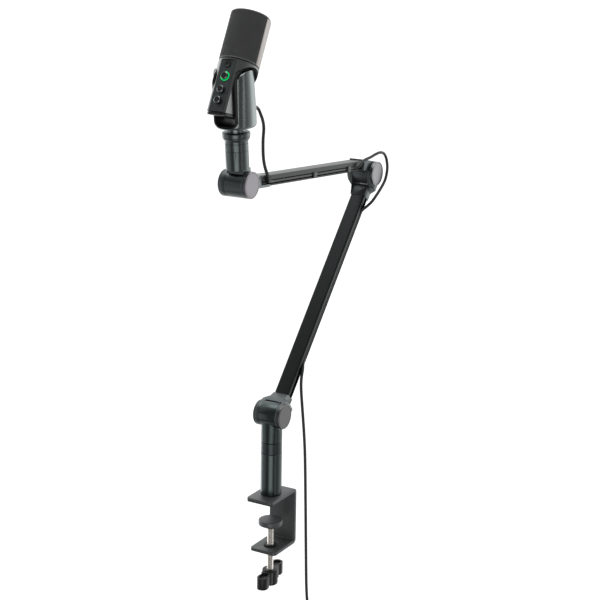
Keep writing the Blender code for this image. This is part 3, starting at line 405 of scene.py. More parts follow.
def make_looks():
    """Every material of the object."""
    metal, steel, plastic = "anthracite_metal", "steel", "black_plastic"
    look("mic_anthracite", (0.250, 0.262, 0.258), 0.36, 0.95, 2600, 0.05, slot=metal)
    look("yoke_anthracite", (0.230, 0.255, 0.255), 0.24, 1.0, 2600, 0.04, slot=metal)
    look("rear_shell_satin", (0.320, 0.300, 0.290), 0.32, 1.0, 2200, 0.04, slot=metal)
    look("post_anthracite", (0.125, 0.142, 0.142), 0.28, 1.0, 2400, 0.04, slot=metal)
    look("column_anthracite", (0.090, 0.108, 0.108), 0.28, 1.0, 2400, 0.04, slot=metal)
    look("ring_anthracite", (0.066, 0.078, 0.080), 0.34, 0.9, 2400, 0.04, slot=metal)
    look("arm_tube_coat", (0.033, 0.037, 0.037), 0.34, 0.85, 1800, 0.05, slot=metal)
    look("clamp_coat", (0.120, 0.128, 0.130), 0.42, 0.6, 1400, 0.10, slot=metal)
    look("pad_coat", (0.135, 0.142, 0.147), 0.45, 0.5, 1400, 0.08, slot=metal)
    look("drum_coat", (0.120, 0.136, 0.138), 0.34, 0.8, 2000, 0.05, slot=metal)
    look("fitting_plastic", (0.120, 0.136, 0.138), 0.34, 0.8, 1800, 0.06, slot=plastic)
    look("handle_plastic", (0.008, 0.009, 0.009), 0.45, 0.0, 1500, 0.12, slot=plastic)
    look("control_plastic", (0.014, 0.016, 0.017), 0.40, 0.0, 2500, 0.06, slot=plastic, coat=0.1)
    look("knob_edge", (0.25, 0.26, 0.26), 0.28, 0.95, 2500, 0.03, slot=plastic)
    look("panel_anthracite", (0.120, 0.136, 0.138), 0.40, 0.9, 2600, 0.06, slot=metal)
    look("liner_rubber", (0.006, 0.006, 0.006), 0.60, 0.0, 900, 0.20, slot="rubber")
    look("grip_rubber", (0.012, 0.012, 0.012), 0.80, 0.0, 800, 0.30, slot="rubber")
    look("grille_wire", (0.230, 0.236, 0.234), 0.50, 0.40, 3000, 0.05, slot="mesh_black")
    look("grille_foam", (0.085, 0.087, 0.086), 0.95, 0.0, 1200, 0.6, slot="mesh_black", depth=0.0002)
    look("turned_steel", (0.90, 0.86, 0.80), 0.36, 0.9, 900, 0.06, slot=steel, stretch=(1, 1, 12))
    look("zinc_steel", (0.45, 0.45, 0.46), 0.35, 1.0, 900, 0.06, slot=steel)
    look("cable_sheath_skin", (0.034, 0.036, 0.036), 0.42, 0.0, 1400, 0.10, slot="cable_sheath")
    look("board_mask", (0.015, 0.085, 0.040), 0.35, 0.0, 700, 0.05, slot="board_green")
    look("capsule_gold", (0.75, 0.58, 0.28), 0.25, 1.0, 900, 0.03, slot="gold_film")
    look("light_off", (0.05, 0.07, 0.06), 0.30, 0.0, 2000, 0.02, slot="light_guide", coat=0.3)
    lit = look("light_on", (0.0, 0.42, 0.10), 0.35, 0.0, 2000, 0.02, slot="light_guide")
    feed(lit.node_tree, lit.node_tree.nodes["Principled BSDF"],
        {"Emission Color": (0.0, 0.60, 0.12, 1), "Emission Strength": 1.1})
    # The three caps are one turned satin metal. The shoulder's cap is given a much darker colour as painted shade,
    # standing in for the weaker light low on the stand.
    turned_face("cap_wrist", (0.24, 0.23, 0.245), 0.36, WRIST, "satin_metal")
    turned_face("cap_elbow", (0.25, 0.25, 0.26), 0.36, ELBOW, "satin_metal")
    turned_face("cap_shoulder", (0.15, 0.15, 0.15), 0.36, SHOULDER, "satin_metal")


# ---------------- modelling
SOLIDS = []


def add(name, data):
    """A new object in the scene."""
    obj = bpy.data.objects.new(name, data)
    bpy.context.scene.collection.objects.link(obj)
    return obj


def place(mesh, where):
    """Put the mesh of a solid in the scene in a frame."""
    obj = add("solid", mesh)
    obj.matrix_world = where
    SOLIDS.append(obj)
    return obj


def as_mesh(shape):
    """The mesh of a bmesh, which is used up."""
    mesh = bpy.data.meshes.new("solid")
    shape.to_mesh(mesh)
    shape.free()
    return mesh


def applied(obj):
    """The mesh of an object with its modifiers applied."""
    bpy.context.view_layer.update()
    return bpy.data.meshes.new_from_object(obj.evaluated_get(bpy.context.evaluated_depsgraph_get()))


def boolean(target, other, operation="DIFFERENCE"):
    """Cut a piece with a cutter, or join or intersect it with one."""
    step = target.modifiers.new(operation.lower(), "BOOLEAN")
    step.operation = operation
    step.solver = "EXACT"
    step.object = other


TO_AXIS = {"Z": Matrix.Identity(4), "Y": Matrix.Rotation(radians(-90), 4, "X"),
    "X": Matrix.Rotation(radians(90), 4, "Y")}
ALONG = {"Z": Matrix.Identity(4), "Y": Matrix(((1, 0, 0, 0), (0, 0, -1, 0), (0, 1, 0, 0), (0, 0, 0, 1))),
    "X": Matrix(((0, 0, 1, 0), (1, 0, 0, 0), (0, 1, 0, 0), (0, 0, 0, 1)))}


def turned(profile, where, axis="Z", at_point=(0, 0, 0), sides=ROUND, ring=False):
    """A turned solid: (radius, height) points down the outer side; a ring closes on itself."""
    mesh = bpy.data.meshes.new("solid")
    edges = [(i, i + 1) for i in range(len(profile) - 1)]
    if ring:
        edges.append((len(profile) - 1, 0))
    mesh.from_pydata([(radius, 0.0, height) for radius, height in profile], edges, [])
    obj = place(mesh, where @ Matrix.Translation(at_point) @ TO_AXIS[axis])
    screw = obj.modifiers.new("turn", "SCREW")
    screw.steps = sides
    screw.render_steps = sides
    screw.use_merge_vertices = True
    screw.merge_threshold = 0.000001
    return obj


def rod(radius, low, high, where, axis="Z", at_point=(0, 0, 0)):
    """A plain cylinder from low to high along its axis."""
    profile = [(0, high), (radius, high), (radius, low), (0, low)]
    return turned(profile, where, axis, at_point)


def box(low, high, where):
    """A box between two corners."""
    low, high = Vector(low), Vector(high)
    shape = bmesh.new()
    bmesh.ops.create_cube(shape, size=1.0)
    bmesh.ops.scale(shape, vec=high - low, verts=shape.verts)
    bmesh.ops.translate(shape, vec=(high + low) / 2, verts=shape.verts)
    return place(as_mesh(shape), where)


def prism(outlines, low, high, where, axis="Z"):
    """Flat outlines extruded from low to high: (x, y) along Z, (x, z) along Y, (y, z) along X."""
    flat = bpy.data.curves.new("outline", "CURVE")
    flat.dimensions = "2D"
    flat.fill_mode = "BOTH"
    flat.extrude = (high - low) / 2
    for outline in outlines:
        spline = flat.splines.new("POLY")
        spline.points.add(len(outline) - 1)
        for point, (u, v) in zip(spline.points, outline):
            point.co = (u, v, 0.0, 1.0)
        spline.use_cyclic_u = True
    guide = add("outline", flat)
    shape = bmesh.new()
    shape.from_mesh(applied(guide))
    bpy.data.objects.remove(guide)
    bmesh.ops.remove_doubles(shape, verts=shape.verts, dist=0.000001)
    bmesh.ops.dissolve_limit(shape, angle_limit=0.01, verts=shape.verts, edges=shape.edges)
    middle = (high + low) / 2 * (-1.0 if axis == "Y" else 1.0)
    bmesh.ops.transform(shape, matrix=ALONG[axis] @ Matrix.Translation((0, 0, middle)), verts=shape.verts)
    bmesh.ops.recalc_face_normals(shape, faces=shape.faces)
    if shape.calc_volume(signed=True) < 0:
        bmesh.ops.reverse_faces(shape, faces=shape.faces)
    return place(as_mesh(shape), where)


def finished(obj, node, body, finish, soft=0.0003, crease=38, name=None):
    """Apply a piece's modifiers, soften its edges, and let it stand for a CAD node."""
    if soft:
        edge = obj.modifiers.new("soft_edges", "BEVEL")
        edge.width = soft
        edge.segments = 2
        edge.limit_method = "ANGLE"
        edge.angle_limit = radians(32)
    mesh = applied(obj)
    mesh.transform(obj.matrix_world)
    SOLIDS.remove(obj)
    bpy.data.objects.remove(obj)
    return settle(mesh, node, body, finish, crease, name)


def settle(mesh, node, body, finish, crease=38, name=None):
    """Make a mesh in world coordinates a visible piece on a body."""
    mesh.materials.clear()
    mesh.materials.append(LOOKS[finish][0])
    mesh.shade_smooth()
    mesh.set_sharp_from_angle(angle=radians(crease))
    piece = add(name or node + "_fine", mesh)
    if body:
        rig.ride(piece, body)
    if node:
        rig.replaces(piece, node)
    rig.slot(piece, LOOKS[finish][1])
    return piece


def clear_solids():
    """Remove the helper solids that cut or joined others."""
    for obj in SOLIDS:
        bpy.data.objects.remove(obj)
    SOLIDS.clear()


def arc(centre, radius, start, end, steps):
    """Points of an arc, from one angle to another, in degrees."""
    angles = [radians(start + (end - start) * i / steps) for i in range(steps + 1)]
    return [(centre[0] + radius * cos(a), centre[1] + radius * sin(a)) for a in angles]


def rounded(low, high, radius, steps=6):
    """A rectangle with round corners, from the corner at the highest x and y."""
    (x0, y0), (x1, y1) = low, high
    points = []
    for x, y, start in ((x1, y1, 0), (x0, y1, 90), (x0, y0, 180), (x1, y0, 270)):
        cx = x - radius if x == x1 else x + radius
        cy = y - radius if y == y1 else y + radius
        points += arc((cx, cy), radius, start, start + 90, steps)
    return points


def hull(points):
    """The convex outline around some points."""
    def turn(o, a, b):
        return (a[0] - o[0]) * (b[1] - o[1]) - (a[1] - o[1]) * (b[0] - o[0])

    halves = []
    for ordered in (sorted(points), sorted(points, reverse=True)):
        half = []
        for point in ordered:
            while len(half) > 1 and turn(half[-2], half[-1], point) <= 1e-12:
                half.pop()
            half.append(point)
        halves += half[:-1]
    return halves


# ---------------- clamp
def make_clamp():
    """Bracket, jaw rubber, bush, screw with its thread, winged handle and pad."""
    top, back, base = TOP_PLATE_Z + PLATE_THICK, BACK_PLATE_X, BOTTOM_PLATE_Z - PLATE_THICK
    inner_back, bend = BACK_PLATE_X - PLATE_THICK, 0.0055
    inner = bend - PLATE_THICK
    outline = ([(TOP_PLATE_X, TOP_PLATE_Z), (TOP_PLATE_X, top)]
        + arc((back - bend, top - bend), bend, 90, 0, 10)
        + arc((back - bend, base + bend), bend, 0, -90, 10)
        + [(BOTTOM_PLATE_X, base), (BOTTOM_PLATE_X, BOTTOM_PLATE_Z)]
        + arc((inner_back - inner, BOTTOM_PLATE_Z + inner), inner, -90, 0, 5)
        + arc((inner_back - inner, TOP_PLATE_Z - inner), inner, 0, 90, 5))
    width, corner = CLAMP_HALF_WIDTH, 0.0045
    bracket = prism([outline], -width, width, HERE, "Y")
    for x, z in ((TOP_PLATE_X, TOP_PLATE_Z), (BOTTOM_PLATE_X, base)):
        keep = rounded((x, -width), (x + 0.1, width), corner)
        border = [(x - 0.01, -width - 0.01), (x + corner, -width - 0.01)] + keep[20:6:-1] + [(x + corner,
            width + 0.01), (x - 0.01, width + 0.01)]
        boolean(bracket, prism([border], z - 0.002, z + PLATE_THICK + 0.002, HERE))
    bore = 0.0059
    boolean(bracket, rod(bore, BOTTOM_PLATE_Z - 0.01, BOTTOM_PLATE_Z + 0.01, HERE))
    boolean(bracket, rod(0.0065, -0.002, 0.0037, HERE))
    finished(bracket, "clamp_bracket", "base", "clamp_coat", soft=0.0006)
    rubber = box((TOP_PLATE_X + 0.0015, -0.0173, 0), (BACK_PLATE_X - 0.006, 0.0173, 0.0009), HERE)
    finished(rubber, "jaw_rubber", "base", "grip_rubber", soft=0.0002)
    plate = BOTTOM_PLATE_Z
    clear = SCREW_RADIUS + GAP
    bush = [(0.0082, plate + 0.0019), (0.0082, plate + GAP), (bore - GAP, plate + GAP), (bore - GAP, base),
        (clear, base), (clear, plate + 0.0019)]
    finished(turned(bush, HERE, ring=True), "screw_bush", "base", "handle_plastic")
    make_screw()
    low = PAD_BASE - 0.004
    pad = ([(0, PAD_TOP)] + arc((PAD_RADIUS - 0.0011, PAD_TOP - 0.0011), 0.0011, 90, 0, 5)
        + arc((PAD_RADIUS - 0.0009, PAD_BASE + 0.0009), 0.0009, 0, -90, 4)
        + [(0.0088, PAD_BASE), (0.0080, PAD_BASE - 0.0008), (0.0076, low + 0.0006), (0.0070, low),
        (clear, low), (clear, PAD_TOP - 0.0042), (0, PAD_TOP - 0.0042)])
    finished(turned(pad, HERE), "clamp_pad", "clamp_pad_body", "pad_coat", soft=0)
    make_handle()


def make_screw():
    """The screw, with a real helical thread that ends under its smooth tip."""
    steps, turns = 28, int((PAD_BASE - SCREW_END - 0.004) / SCREW_PITCH)
    shape = bmesh.new()
    root, crest = SCREW_RADIUS - 0.0006, SCREW_RADIUS
    rows = []
    for i in range(turns * steps + 1):
        angle = 2 * pi * i / steps
        z = SCREW_END + 0.0005 + SCREW_PITCH * i / steps
        ring = []
        for radius, rise in ((root, 0.0), (crest, 0.42), (crest, 0.58)):
            ring.append(shape.verts.new((radius * cos(angle), radius * sin(angle), z + rise * SCREW_PITCH)))
        rows.append(ring)
    for i, (a, b) in enumerate(zip(rows, rows[1:])):
        for k in (0, 1):
            shape.faces.new((a[k], b[k], b[k + 1], a[k + 1]))
        above = i + steps
        if above + 1 < len(rows):
            shape.faces.new((a[2], b[2], rows[above + 1][0], rows[above][0]))
    bmesh.ops.recalc_face_normals(shape, faces=shape.faces)
    settle(as_mesh(shape), None, "clamp_screw_body", "turned_steel", crease=60, name="clamp_screw_thread")
    top = PAD_TOP - 0.0046
    soft = 0.0005
    core = [(0, top), (SCREW_RADIUS - soft, top), (SCREW_RADIUS, top - soft),
        (SCREW_RADIUS, PAD_BASE - 0.0046), (root, PAD_BASE - 0.0052), (root, SCREW_END + soft),
        (root - soft, SCREW_END), (0, SCREW_END)]
    finished(turned(core, HERE), "clamp_screw", "clamp_screw_body", "turned_steel", soft=0)


def make_handle():
    """Winged handle: a round hub with two hollowed lobes."""
    hub = [(0, HANDLE_TOP), (0.0090, HANDLE_TOP), (0.0098, HANDLE_TOP - 0.0005),
        (0.0100, HANDLE_TOP - 0.0014), (0.0100, HANDLE_BASE + 0.0022), (0.0094, HANDLE_BASE + 0.0008),
        (0.0080, HANDLE_BASE), (0, HANDLE_BASE)]
    turn = HERE @ Matrix.Rotation(HANDLE_TURN, 4, "Z")
    handle = turned(hub, turn)
    lobe, reach = 0.0070, 0.0255
    wings = arc((reach, 0), lobe, -90, 90, 14) + arc((-reach, 0), lobe, 90, 270, 14)
    low, high = HANDLE_BASE + 0.0042, HANDLE_TOP - 0.0012
    boolean(handle, prism([wings], low, high, turn), "UNION")
    for side in (-1, 1):
        dish = arc((side * reach, 0), lobe - 0.0022, 0, 360, 24)[:-1]
        neck = [(side * 0.0130, -0.0040), (side * 0.0130, 0.0040)]
        pocket = hull(dish + neck)
        boolean(handle, prism([pocket], high - 0.0030, high + 0.003, turn))
        for y in (-1, 1):
            waist = arc((side * 0.0165, y * 0.0105), 0.0052, 0, 360, 24)[:-1]
            boolean(handle, prism([waist], low - 0.002, high + 0.002, turn))
    boolean(handle, rod(SCREW_RADIUS + GAP, SCREW_END - GAP, HANDLE_TOP + 0.01, turn))
    finished(handle, "clamp_handle", "clamp_screw_body", "handle_plastic", soft=0.0007)


# ---------------- column and joints
def make_column():
    """Fixed column and swivel ring."""
    bore = 0.0082
    r, foot, top, soft = COLUMN_RADIUS, COLUMN_FOOT, RING_FOOT - GAP, 0.0004
    base = [(r - soft, top), (r, top - soft), (r, foot + soft), (r - soft, foot), (0.0033, foot),
        (0.0033, 0.024), (bore, 0.024), (bore, top)]
    finished(turned(base, HERE, ring=True), "column_base", "base", "column_anthracite", soft=0)
    r = COLUMN_RADIUS - 0.0002
    low, high = RING_FOOT, TURRET_FOOT - GAP
    ring = [(r - soft, high), (r, high - soft), (r, low + soft), (r - soft, low), (bore, low), (bore, high)]
    finished(turned(ring, HERE, ring=True), "column_ring", "base", "ring_anthracite", soft=0)


def knuckle(obj, where):
    """Join the middle of a joint drum to a piece, with its pin bore and washer recess."""
    boolean(obj, rod(DRUM_RADIUS, KNUCKLE_NEAR, KNUCKLE_FAR, where, "Y"), "UNION")
    boolean(obj, rod(NEAR_ROOM, KNUCKLE_NEAR - 0.012, KNUCKLE_NEAR, where, "Y"))
    boolean(obj, rod(FAR_ROOM, KNUCKLE_FAR, KNUCKLE_FAR + 0.014, where, "Y"))
    bore_knuckle(obj, where)


def bore_knuckle(obj, where):
    """The pin bore and washer recess of a knuckle."""
    boolean(obj, rod(PIN_RADIUS + GAP, -0.03, 0.03, where, "Y"))
    boolean(obj, rod(WASHER_RADIUS + GAP, KNUCKLE_FAR - WASHER_THICK - 2 * GAP, 0.03, where, "Y"))


def make_turret():
    """The part of the column that swivels, with the shoulder's drum."""
    low = TURRET_FOOT - SHOULDER.z
    r, bore, bore_top = COLUMN_RADIUS, 0.0082, low + 0.0074
    body = [(0, 0), (r, 0), (r, low + 0.0004), (r - 0.0004, low), (bore, low), (bore, bore_top),
        (0, bore_top)]
    turret = turned(body, AT_SHOULDER)
    knuckle(turret, AT_SHOULDER)
    finished(turret, "shoulder_turret", "turret", "column_anthracite")


def joint_caps(joint, where, body):
    """The light disc on the near end of a drum and the dark rounded cap on its far end."""
    r, inner, edge = DRUM_RADIUS, CHEEK_OUTER + GAP, 0.0005
    near = ([(0, -inner), (r, -inner)] + arc((r - edge, -DRUM_END + edge), edge, 0, -90, 4)
        + [(r - 0.0016, -DRUM_END), (r - 0.0018, -DRUM_END + 0.0002), (r - 0.0021, -DRUM_END + 0.0002),
        (r - 0.0023, -DRUM_END), (0, -DRUM_END)])
    # The near disc takes its joint's cap material; the shoulder's is darker there as painted shade.
    finished(turned(near, where, "Y"), joint + "_cap_near", body, "cap_" + joint, soft=0, crease=30)
    soft = 0.0022
    far = [(0, DRUM_END)] + arc((r - soft, DRUM_END - soft), soft, 90, 0, 8) + [(r, inner), (0, inner)]
    finished(turned(far, where, "Y"), joint + "_cap_far", body, "drum_coat", soft=0)


def tube_plug(x, start, end, where):
    """The tongue of an end fitting that fills the end of a tube."""
    floor = -TUBE_WIDTH / 2 + SLOT_DEPTH
    low = (x - TUBE_DEPTH / 2 + 0.0019, floor + 0.0018, start)
    high = (x + TUBE_DEPTH / 2 - 0.0019, TUBE_WIDTH / 2 - 0.0019, end)
    return box(low, high, where)


def fork(where, offset, reach, cheek_reach, folds=False):
    """Fork fitting: two cheeks outside a drum, a web beyond it and a plug for the tube. +Z is outwards."""
    side = TUBE_DEPTH / 2 + 0.0006
    disc = arc((0, 0), DRUM_RADIUS, 0, 355, 71)
    ends = [(offset - side, cheek_reach), (offset + side, cheek_reach)]
    fitting = prism([hull(disc + ends)], -CHEEK_OUTER, CHEEK_OUTER, where, "Y")
    far = 0.04
    lip = arc((0, 0), WEB_START, 90, 120, 8)
    outline = [(-far, -far), (far, -far), (far, WEB_START)] + lip + [(-far / 2, far * sin(pi / 3))]
    if folds:
        outline = [(-far, -far), (far, -far), (far, 2 * far), (offset + side, 2 * far),
            (offset + side, WEB_START), (-far, WEB_START)]
    boolean(fitting, prism([outline], KNUCKLE_NEAR - GAP, KNUCKLE_FAR + GAP, where, "Y"))
    boolean(fitting, rod(PIN_RADIUS + GAP, -0.03, 0.03, where, "Y"))
    half, drop, wide = TUBE_WIDTH / 2 + 0.0004, TAPER_START + CHEEK_OUTER - TUBE_WIDTH / 2, 0.03
    for sign in (-1, 1):
        taper = [(sign * wide, TAPER_START), (sign * (CHEEK_OUTER + GAP), TAPER_START), (sign * half, drop),
            (sign * half, cheek_reach + 0.001), (sign * wide, cheek_reach + 0.001)]
        boolean(fitting, prism([taper], -far, far, where, "X"))
    if reach > cheek_reach:
        half, foot = half - 0.0002, DRUM_RADIUS + 0.002
        neck = [(offset - side, foot), (offset + side, foot), (offset + side, reach), (offset - side, reach)]
        boolean(fitting, prism([neck], -half, half, where, "Y"), "UNION")
    boolean(fitting, tube_plug(offset, reach - 0.004, reach + PLUG_LENGTH, where), "UNION")
    return fitting


# ---------------- arms
def tube(under, start, end, where):
    """An arm's extrusion, with round edges, a cable slot on -Y and a hollow."""
    half, deep = TUBE_WIDTH / 2, TUBE_DEPTH / 2
    outer = rounded((-deep, -half), (deep, half), TUBE_CORNER)
    middle, lip = under * SLOT_SHIFT, 0.0003
    low, high = middle - SLOT_WIDTH / 2, middle + SLOT_WIDTH / 2
    floor = -half + SLOT_DEPTH
    slot = [(low - lip, -half), (low, -half + lip), (low, floor - 0.001), (low + 0.001, floor),
        (high - 0.001, floor), (high, floor - 0.001), (high, -half + lip), (high + lip, -half)]
    if under > 0:
        slot[-1] = (high + lip / 2, -half)
    else:
        slot[0] = (low - lip / 2, -half)
    section = outer[:21] + slot + outer[21:]
    hollow = rounded((-deep + 0.0016, floor + 0.0015), (deep - 0.0016, half - 0.0016), 0.0004, 2)
    return prism([section, hollow], start, end, where)


def make_lower_arm():
    """Lower tube and its two forks."""
    foot = fork(LOWER, LOWER_OFFSET, FOOT_REACH, FOOT_REACH)
    finished(foot, "lower_arm_foot", "lower_arm", "fitting_plastic", soft=0.0005)
    head = fork(HEAD, -LOWER_OFFSET, HEAD_REACH, HEAD_REACH, folds=True)
    finished(head, "lower_arm_head", "lower_arm", "fitting_plastic", soft=0.0005)
    end = LOWER_LENGTH - HEAD_REACH - GAP
    finished(tube(1, FOOT_REACH + GAP, end, LOWER_TUBE), "lower_arm_tube", "lower_arm", "arm_tube_coat",
        soft=0)
    joint_caps("shoulder", LOWER, "lower_arm")
    joint_caps("elbow", HEAD, "lower_arm")


def make_upper_arm():
    """Upper tube, its knuckle at the elbow, its fork at the wrist and the cable clips."""
    end = RUN_LENGTH - WRIST_REACH - GAP
    finished(tube(-1, ELBOW_REACH + GAP, end, RUN), "upper_arm_tube", "upper_arm", "arm_tube_coat", soft=0)
    side = TUBE_DEPTH / 2 + 0.0006
    low, high = UPPER_OFFSET - side, UPPER_OFFSET + side
    foot = degrees(acos(low / DRUM_RADIUS))
    outline = [(high, ELBOW_REACH - 0.0016), (low, ELBOW_REACH - 0.0012)] + arc((0, 0), DRUM_RADIUS, foot,
        354, 60)
    body = prism([outline], KNUCKLE_NEAR, KNUCKLE_FAR, UPPER, "Y")
    boolean(body, tube_plug(0, ELBOW_REACH - 0.006, ELBOW_REACH + PLUG_LENGTH, RUN), "UNION")
    bore_knuckle(body, UPPER)
    finished(body, "upper_arm_knuckle", "upper_arm", "fitting_plastic", soft=0.0004)
    fitting = fork(TIP, 0, WRIST_REACH, WRIST_CHEEK)
    boolean(fitting, box((-0.03, -0.03, 0.034),
        (SLOT_SHIFT + SLOT_WIDTH / 2, SLOT_DEPTH - TUBE_WIDTH / 2, 0.06), TIP))
    finished(fitting, "upper_arm_fork", "upper_arm", "fitting_plastic", soft=0.0005)
    joint_caps("wrist", TIP, "upper_arm")
    for index, along in enumerate((0.0610, 0.1500)):
        half = SLOT_WIDTH / 2
        low = (-SLOT_SHIFT - half - 0.0015, -TUBE_WIDTH / 2 - 0.0013, along)
        high = (-SLOT_SHIFT + half + 0.0009, -TUBE_WIDTH / 2 - GAP / 2, along + 0.009)
        clip = box(low, high, RUN)
        finished(clip, f"cable_clip_{index + 1}", "upper_arm", "control_plastic", soft=0.0005)


# ---------------- wrist post and yoke
def make_post():
    """Post with two grooves, the wrist's drum and the collar."""
    r, groove, bore, soft = POST_RADIUS, 0.0005, STUD_RADIUS + GAP, 0.0002
    body = [(bore, 0.0377), (bore, POST_TOP), (COLLAR_RADIUS - 0.0004, POST_TOP),
        (COLLAR_RADIUS - 0.0004, POST_TOP - 0.0008), (r + 0.0012, POST_TOP - 0.0032), (r, POST_TOP - 0.0040),
        (r, 0.0489), (r - groove, 0.0487), (r - groove, 0.0481), (r, 0.0479), (r, 0.0404),
        (r - groove, 0.0402), (r - groove, 0.0396), (r, 0.0394), (r, POST_FOOT), (0, POST_FOOT),
        (0, 0.0377)]
    stem = turned(body, POST, ring=True)
    neck = box((-0.0080, KNUCKLE_NEAR, 0), (0.0080, KNUCKLE_FAR, POST_FOOT + 0.0010), POST)
    boolean(stem, neck, "UNION")
    knuckle(stem, POST)
    finished(stem, "wrist_post", "post", "post_anthracite", soft=soft)
    r = COLLAR_RADIUS
    collar = ([(bore, COLLAR_TOP), (r - 0.0030, COLLAR_TOP)]
        + arc((r - 0.0014, COLLAR_TOP - 0.0014), 0.0014, 70, 0, 5) + [(r, POST_TOP + 0.0012)]
        + arc((r - 0.0006, POST_TOP + 0.0009), 0.0006, 0, -90, 3) + [(bore, POST_TOP + GAP)])
    finished(turned(collar, POST, ring=True), "post_collar", "post", "post_anthracite", soft=0)


def arch_cut(radius, where):
    """Everything outside a round arch over the pivot."""
    reach, top = 0.032, PIVOT_HEIGHT + 0.035
    over = arc((-PIVOT_FORWARD, PIVOT_HEIGHT), radius, 180, 0, 40)
    outline = [(-reach, top), (-reach, PIVOT_HEIGHT)] + over + [(reach, PIVOT_HEIGHT), (reach, top)]
    return prism([outline], -0.03, 0.03, where, "Y")


def u_outline(half, floor, corner, top):
    """A U's outline: straight sides and round lower corners."""
    left = arc((-half + corner, floor + corner), corner, 180, 270, 14)
    right = arc((half - corner, floor + corner), corner, 270, 360, 14)
    return [(-half, top)] + left + right + [(half, top)]


def make_yoke():
    """Yoke with two arched arms and bores for the pivot pins, and its rubber liner."""
    bore, top, r = STUD_RADIUS + GAP, PIVOT_HEIGHT + ARCH_RADIUS + 0.002, YOKE_RADIUS
    foot = arc((r - 0.0040, YOKE_FLOOR + 0.0040), 0.0040, 0, -90, 10)
    body = [(0, top), (YOKE_TIP_RADIUS, top), (r, 0.085)] + foot + [(YOKE_NECK + 0.0008, YOKE_FLOOR),
        (YOKE_NECK, YOKE_FLOOR - 0.0008), (YOKE_NECK, YOKE_FOOT + 0.0012),
        (YOKE_NECK + 0.0014, YOKE_FOOT + 0.0010), (YOKE_NECK + 0.0014, YOKE_FOOT), (bore, YOKE_FOOT),
        (bore, YOKE_FLOOR - 0.0002), (0, YOKE_FLOOR - 0.0002)]
    yoke = turned(body, POST, sides=128)
    window = u_outline(WINDOW_HALF, WINDOW_FLOOR, WINDOW_CORNER, top + 0.01)
    boolean(yoke, prism([window], -0.03, 0.03, POST, "X"))
    boolean(yoke, arch_cut(ARCH_RADIUS, POST))
    hole = (-PIVOT_FORWARD, 0, PIVOT_HEIGHT)
    boolean(yoke, rod(PIVOT_RADIUS + GAP, -0.0205, 0.0205, POST, "Y", hole))
    finished(yoke, "yoke", "yoke_body", "yoke_anthracite", soft=0.0005)
    outer = u_outline(WINDOW_HALF - GAP, WINDOW_FLOOR + GAP, WINDOW_CORNER - GAP, top + 0.004)
    inner = u_outline(LINER_HALF, WINDOW_FLOOR + 0.0019, 0.0056, top + 0.004)
    liner = prism([outer + inner[::-1]], -0.0218, 0.0157, POST, "X")
    boolean(liner, arch_cut(LINER_ARCH, POST))
    boolean(liner, rod(PIVOT_RADIUS + GAP, -0.03, 0.03, POST, "Y", hole))
    finished(liner, "yoke_liner", "yoke_body", "liner_rubber", soft=0.0005)


# ---------------- microphone
def make_mic_body():
    """Body shell with the opening for the rear socket, bottom cap and plug."""
    r, soft = MIC_RADIUS, 0.0004
    shell = [(0, HEM - GAP), (r - soft, HEM - GAP), (r, HEM - GAP - soft), (r, -0.045), (0, -0.045)]
    body = turned(shell, MIC, sides=128)
    recess = arc((0, 0), RECESS_RADIUS, 0, 180, 48) + [(-0.03, 0), (-0.03, -0.06), (0.03, -0.06), (0.03, 0)]
    boolean(body, prism([recess], -0.03, -TONGUE_HALF, MIC, "Y"))
    boolean(body, prism([recess], TONGUE_HALF, 0.03, MIC, "Y"))
    boolean(body, box((-0.03, -PANEL_HALF - GAP, -0.06),
        (-PANEL_FRONT + PANEL_THICK + GAP, PANEL_HALF + GAP, PANEL_TOP + GAP), MIC))
    boolean(body, box((-0.03, -0.0083, -0.0285), (0.0170, 0.0083, 0.0205), MIC))
    boolean(body, box((0.014, -0.0048, SOCKET_HEIGHT - 0.0020), (0.03, 0.0048, SOCKET_HEIGHT + 0.0020), MIC))
    boolean(body, box((-0.05, -0.05, -0.05), (0.05, 0.05, GAP / 2), SEAM))
    finished(body, "mic_body", "microphone", "mic_anthracite", soft=0.0004)
    half, r = TONGUE_HALF - 0.0001, MIC_RADIUS - 0.0002
    angle = degrees(asin(half / r))
    edge = [half - (half - PANEL_HALF) * i / 4 for i in range(5)]
    curve = [(-sqrt(r * r - y * y), y) for y in edge[:-1]]
    front = curve + [(-PANEL_FRONT, PANEL_HALF), (-PANEL_FRONT, -PANEL_HALF)] + [(x, -y) for x,
        y in curve[::-1]]
    cap = prism([front + arc((0, 0), r, -angle, angle, 16)], -CAP_DROP, -GAP / 2, SEAM)
    finished(cap, "bottom_cap", "microphone", "control_plastic", soft=0.0009)
    height = SOCKET_HEIGHT
    plug = box((PLUG_START, -0.0055, height - 0.0033), (PLUG_END, 0.0055, height + 0.0033), MIC)
    boolean(plug, box((0.0165, -0.0038, height - 0.0010), (0.0260, 0.0038, height + 0.0010), MIC), "UNION")
    relief = [(0, RELIEF_END), (0.0022, RELIEF_END), (0.0025, RELIEF_END - 0.001),
        (0.0029, PLUG_END - 0.002), (0, PLUG_END - 0.002)]
    boolean(plug, turned(relief, MIC, "X", (0, 0, height), 32), "UNION")
    finished(plug, "mic_plug", "microphone", "control_plastic", soft=0.0009)


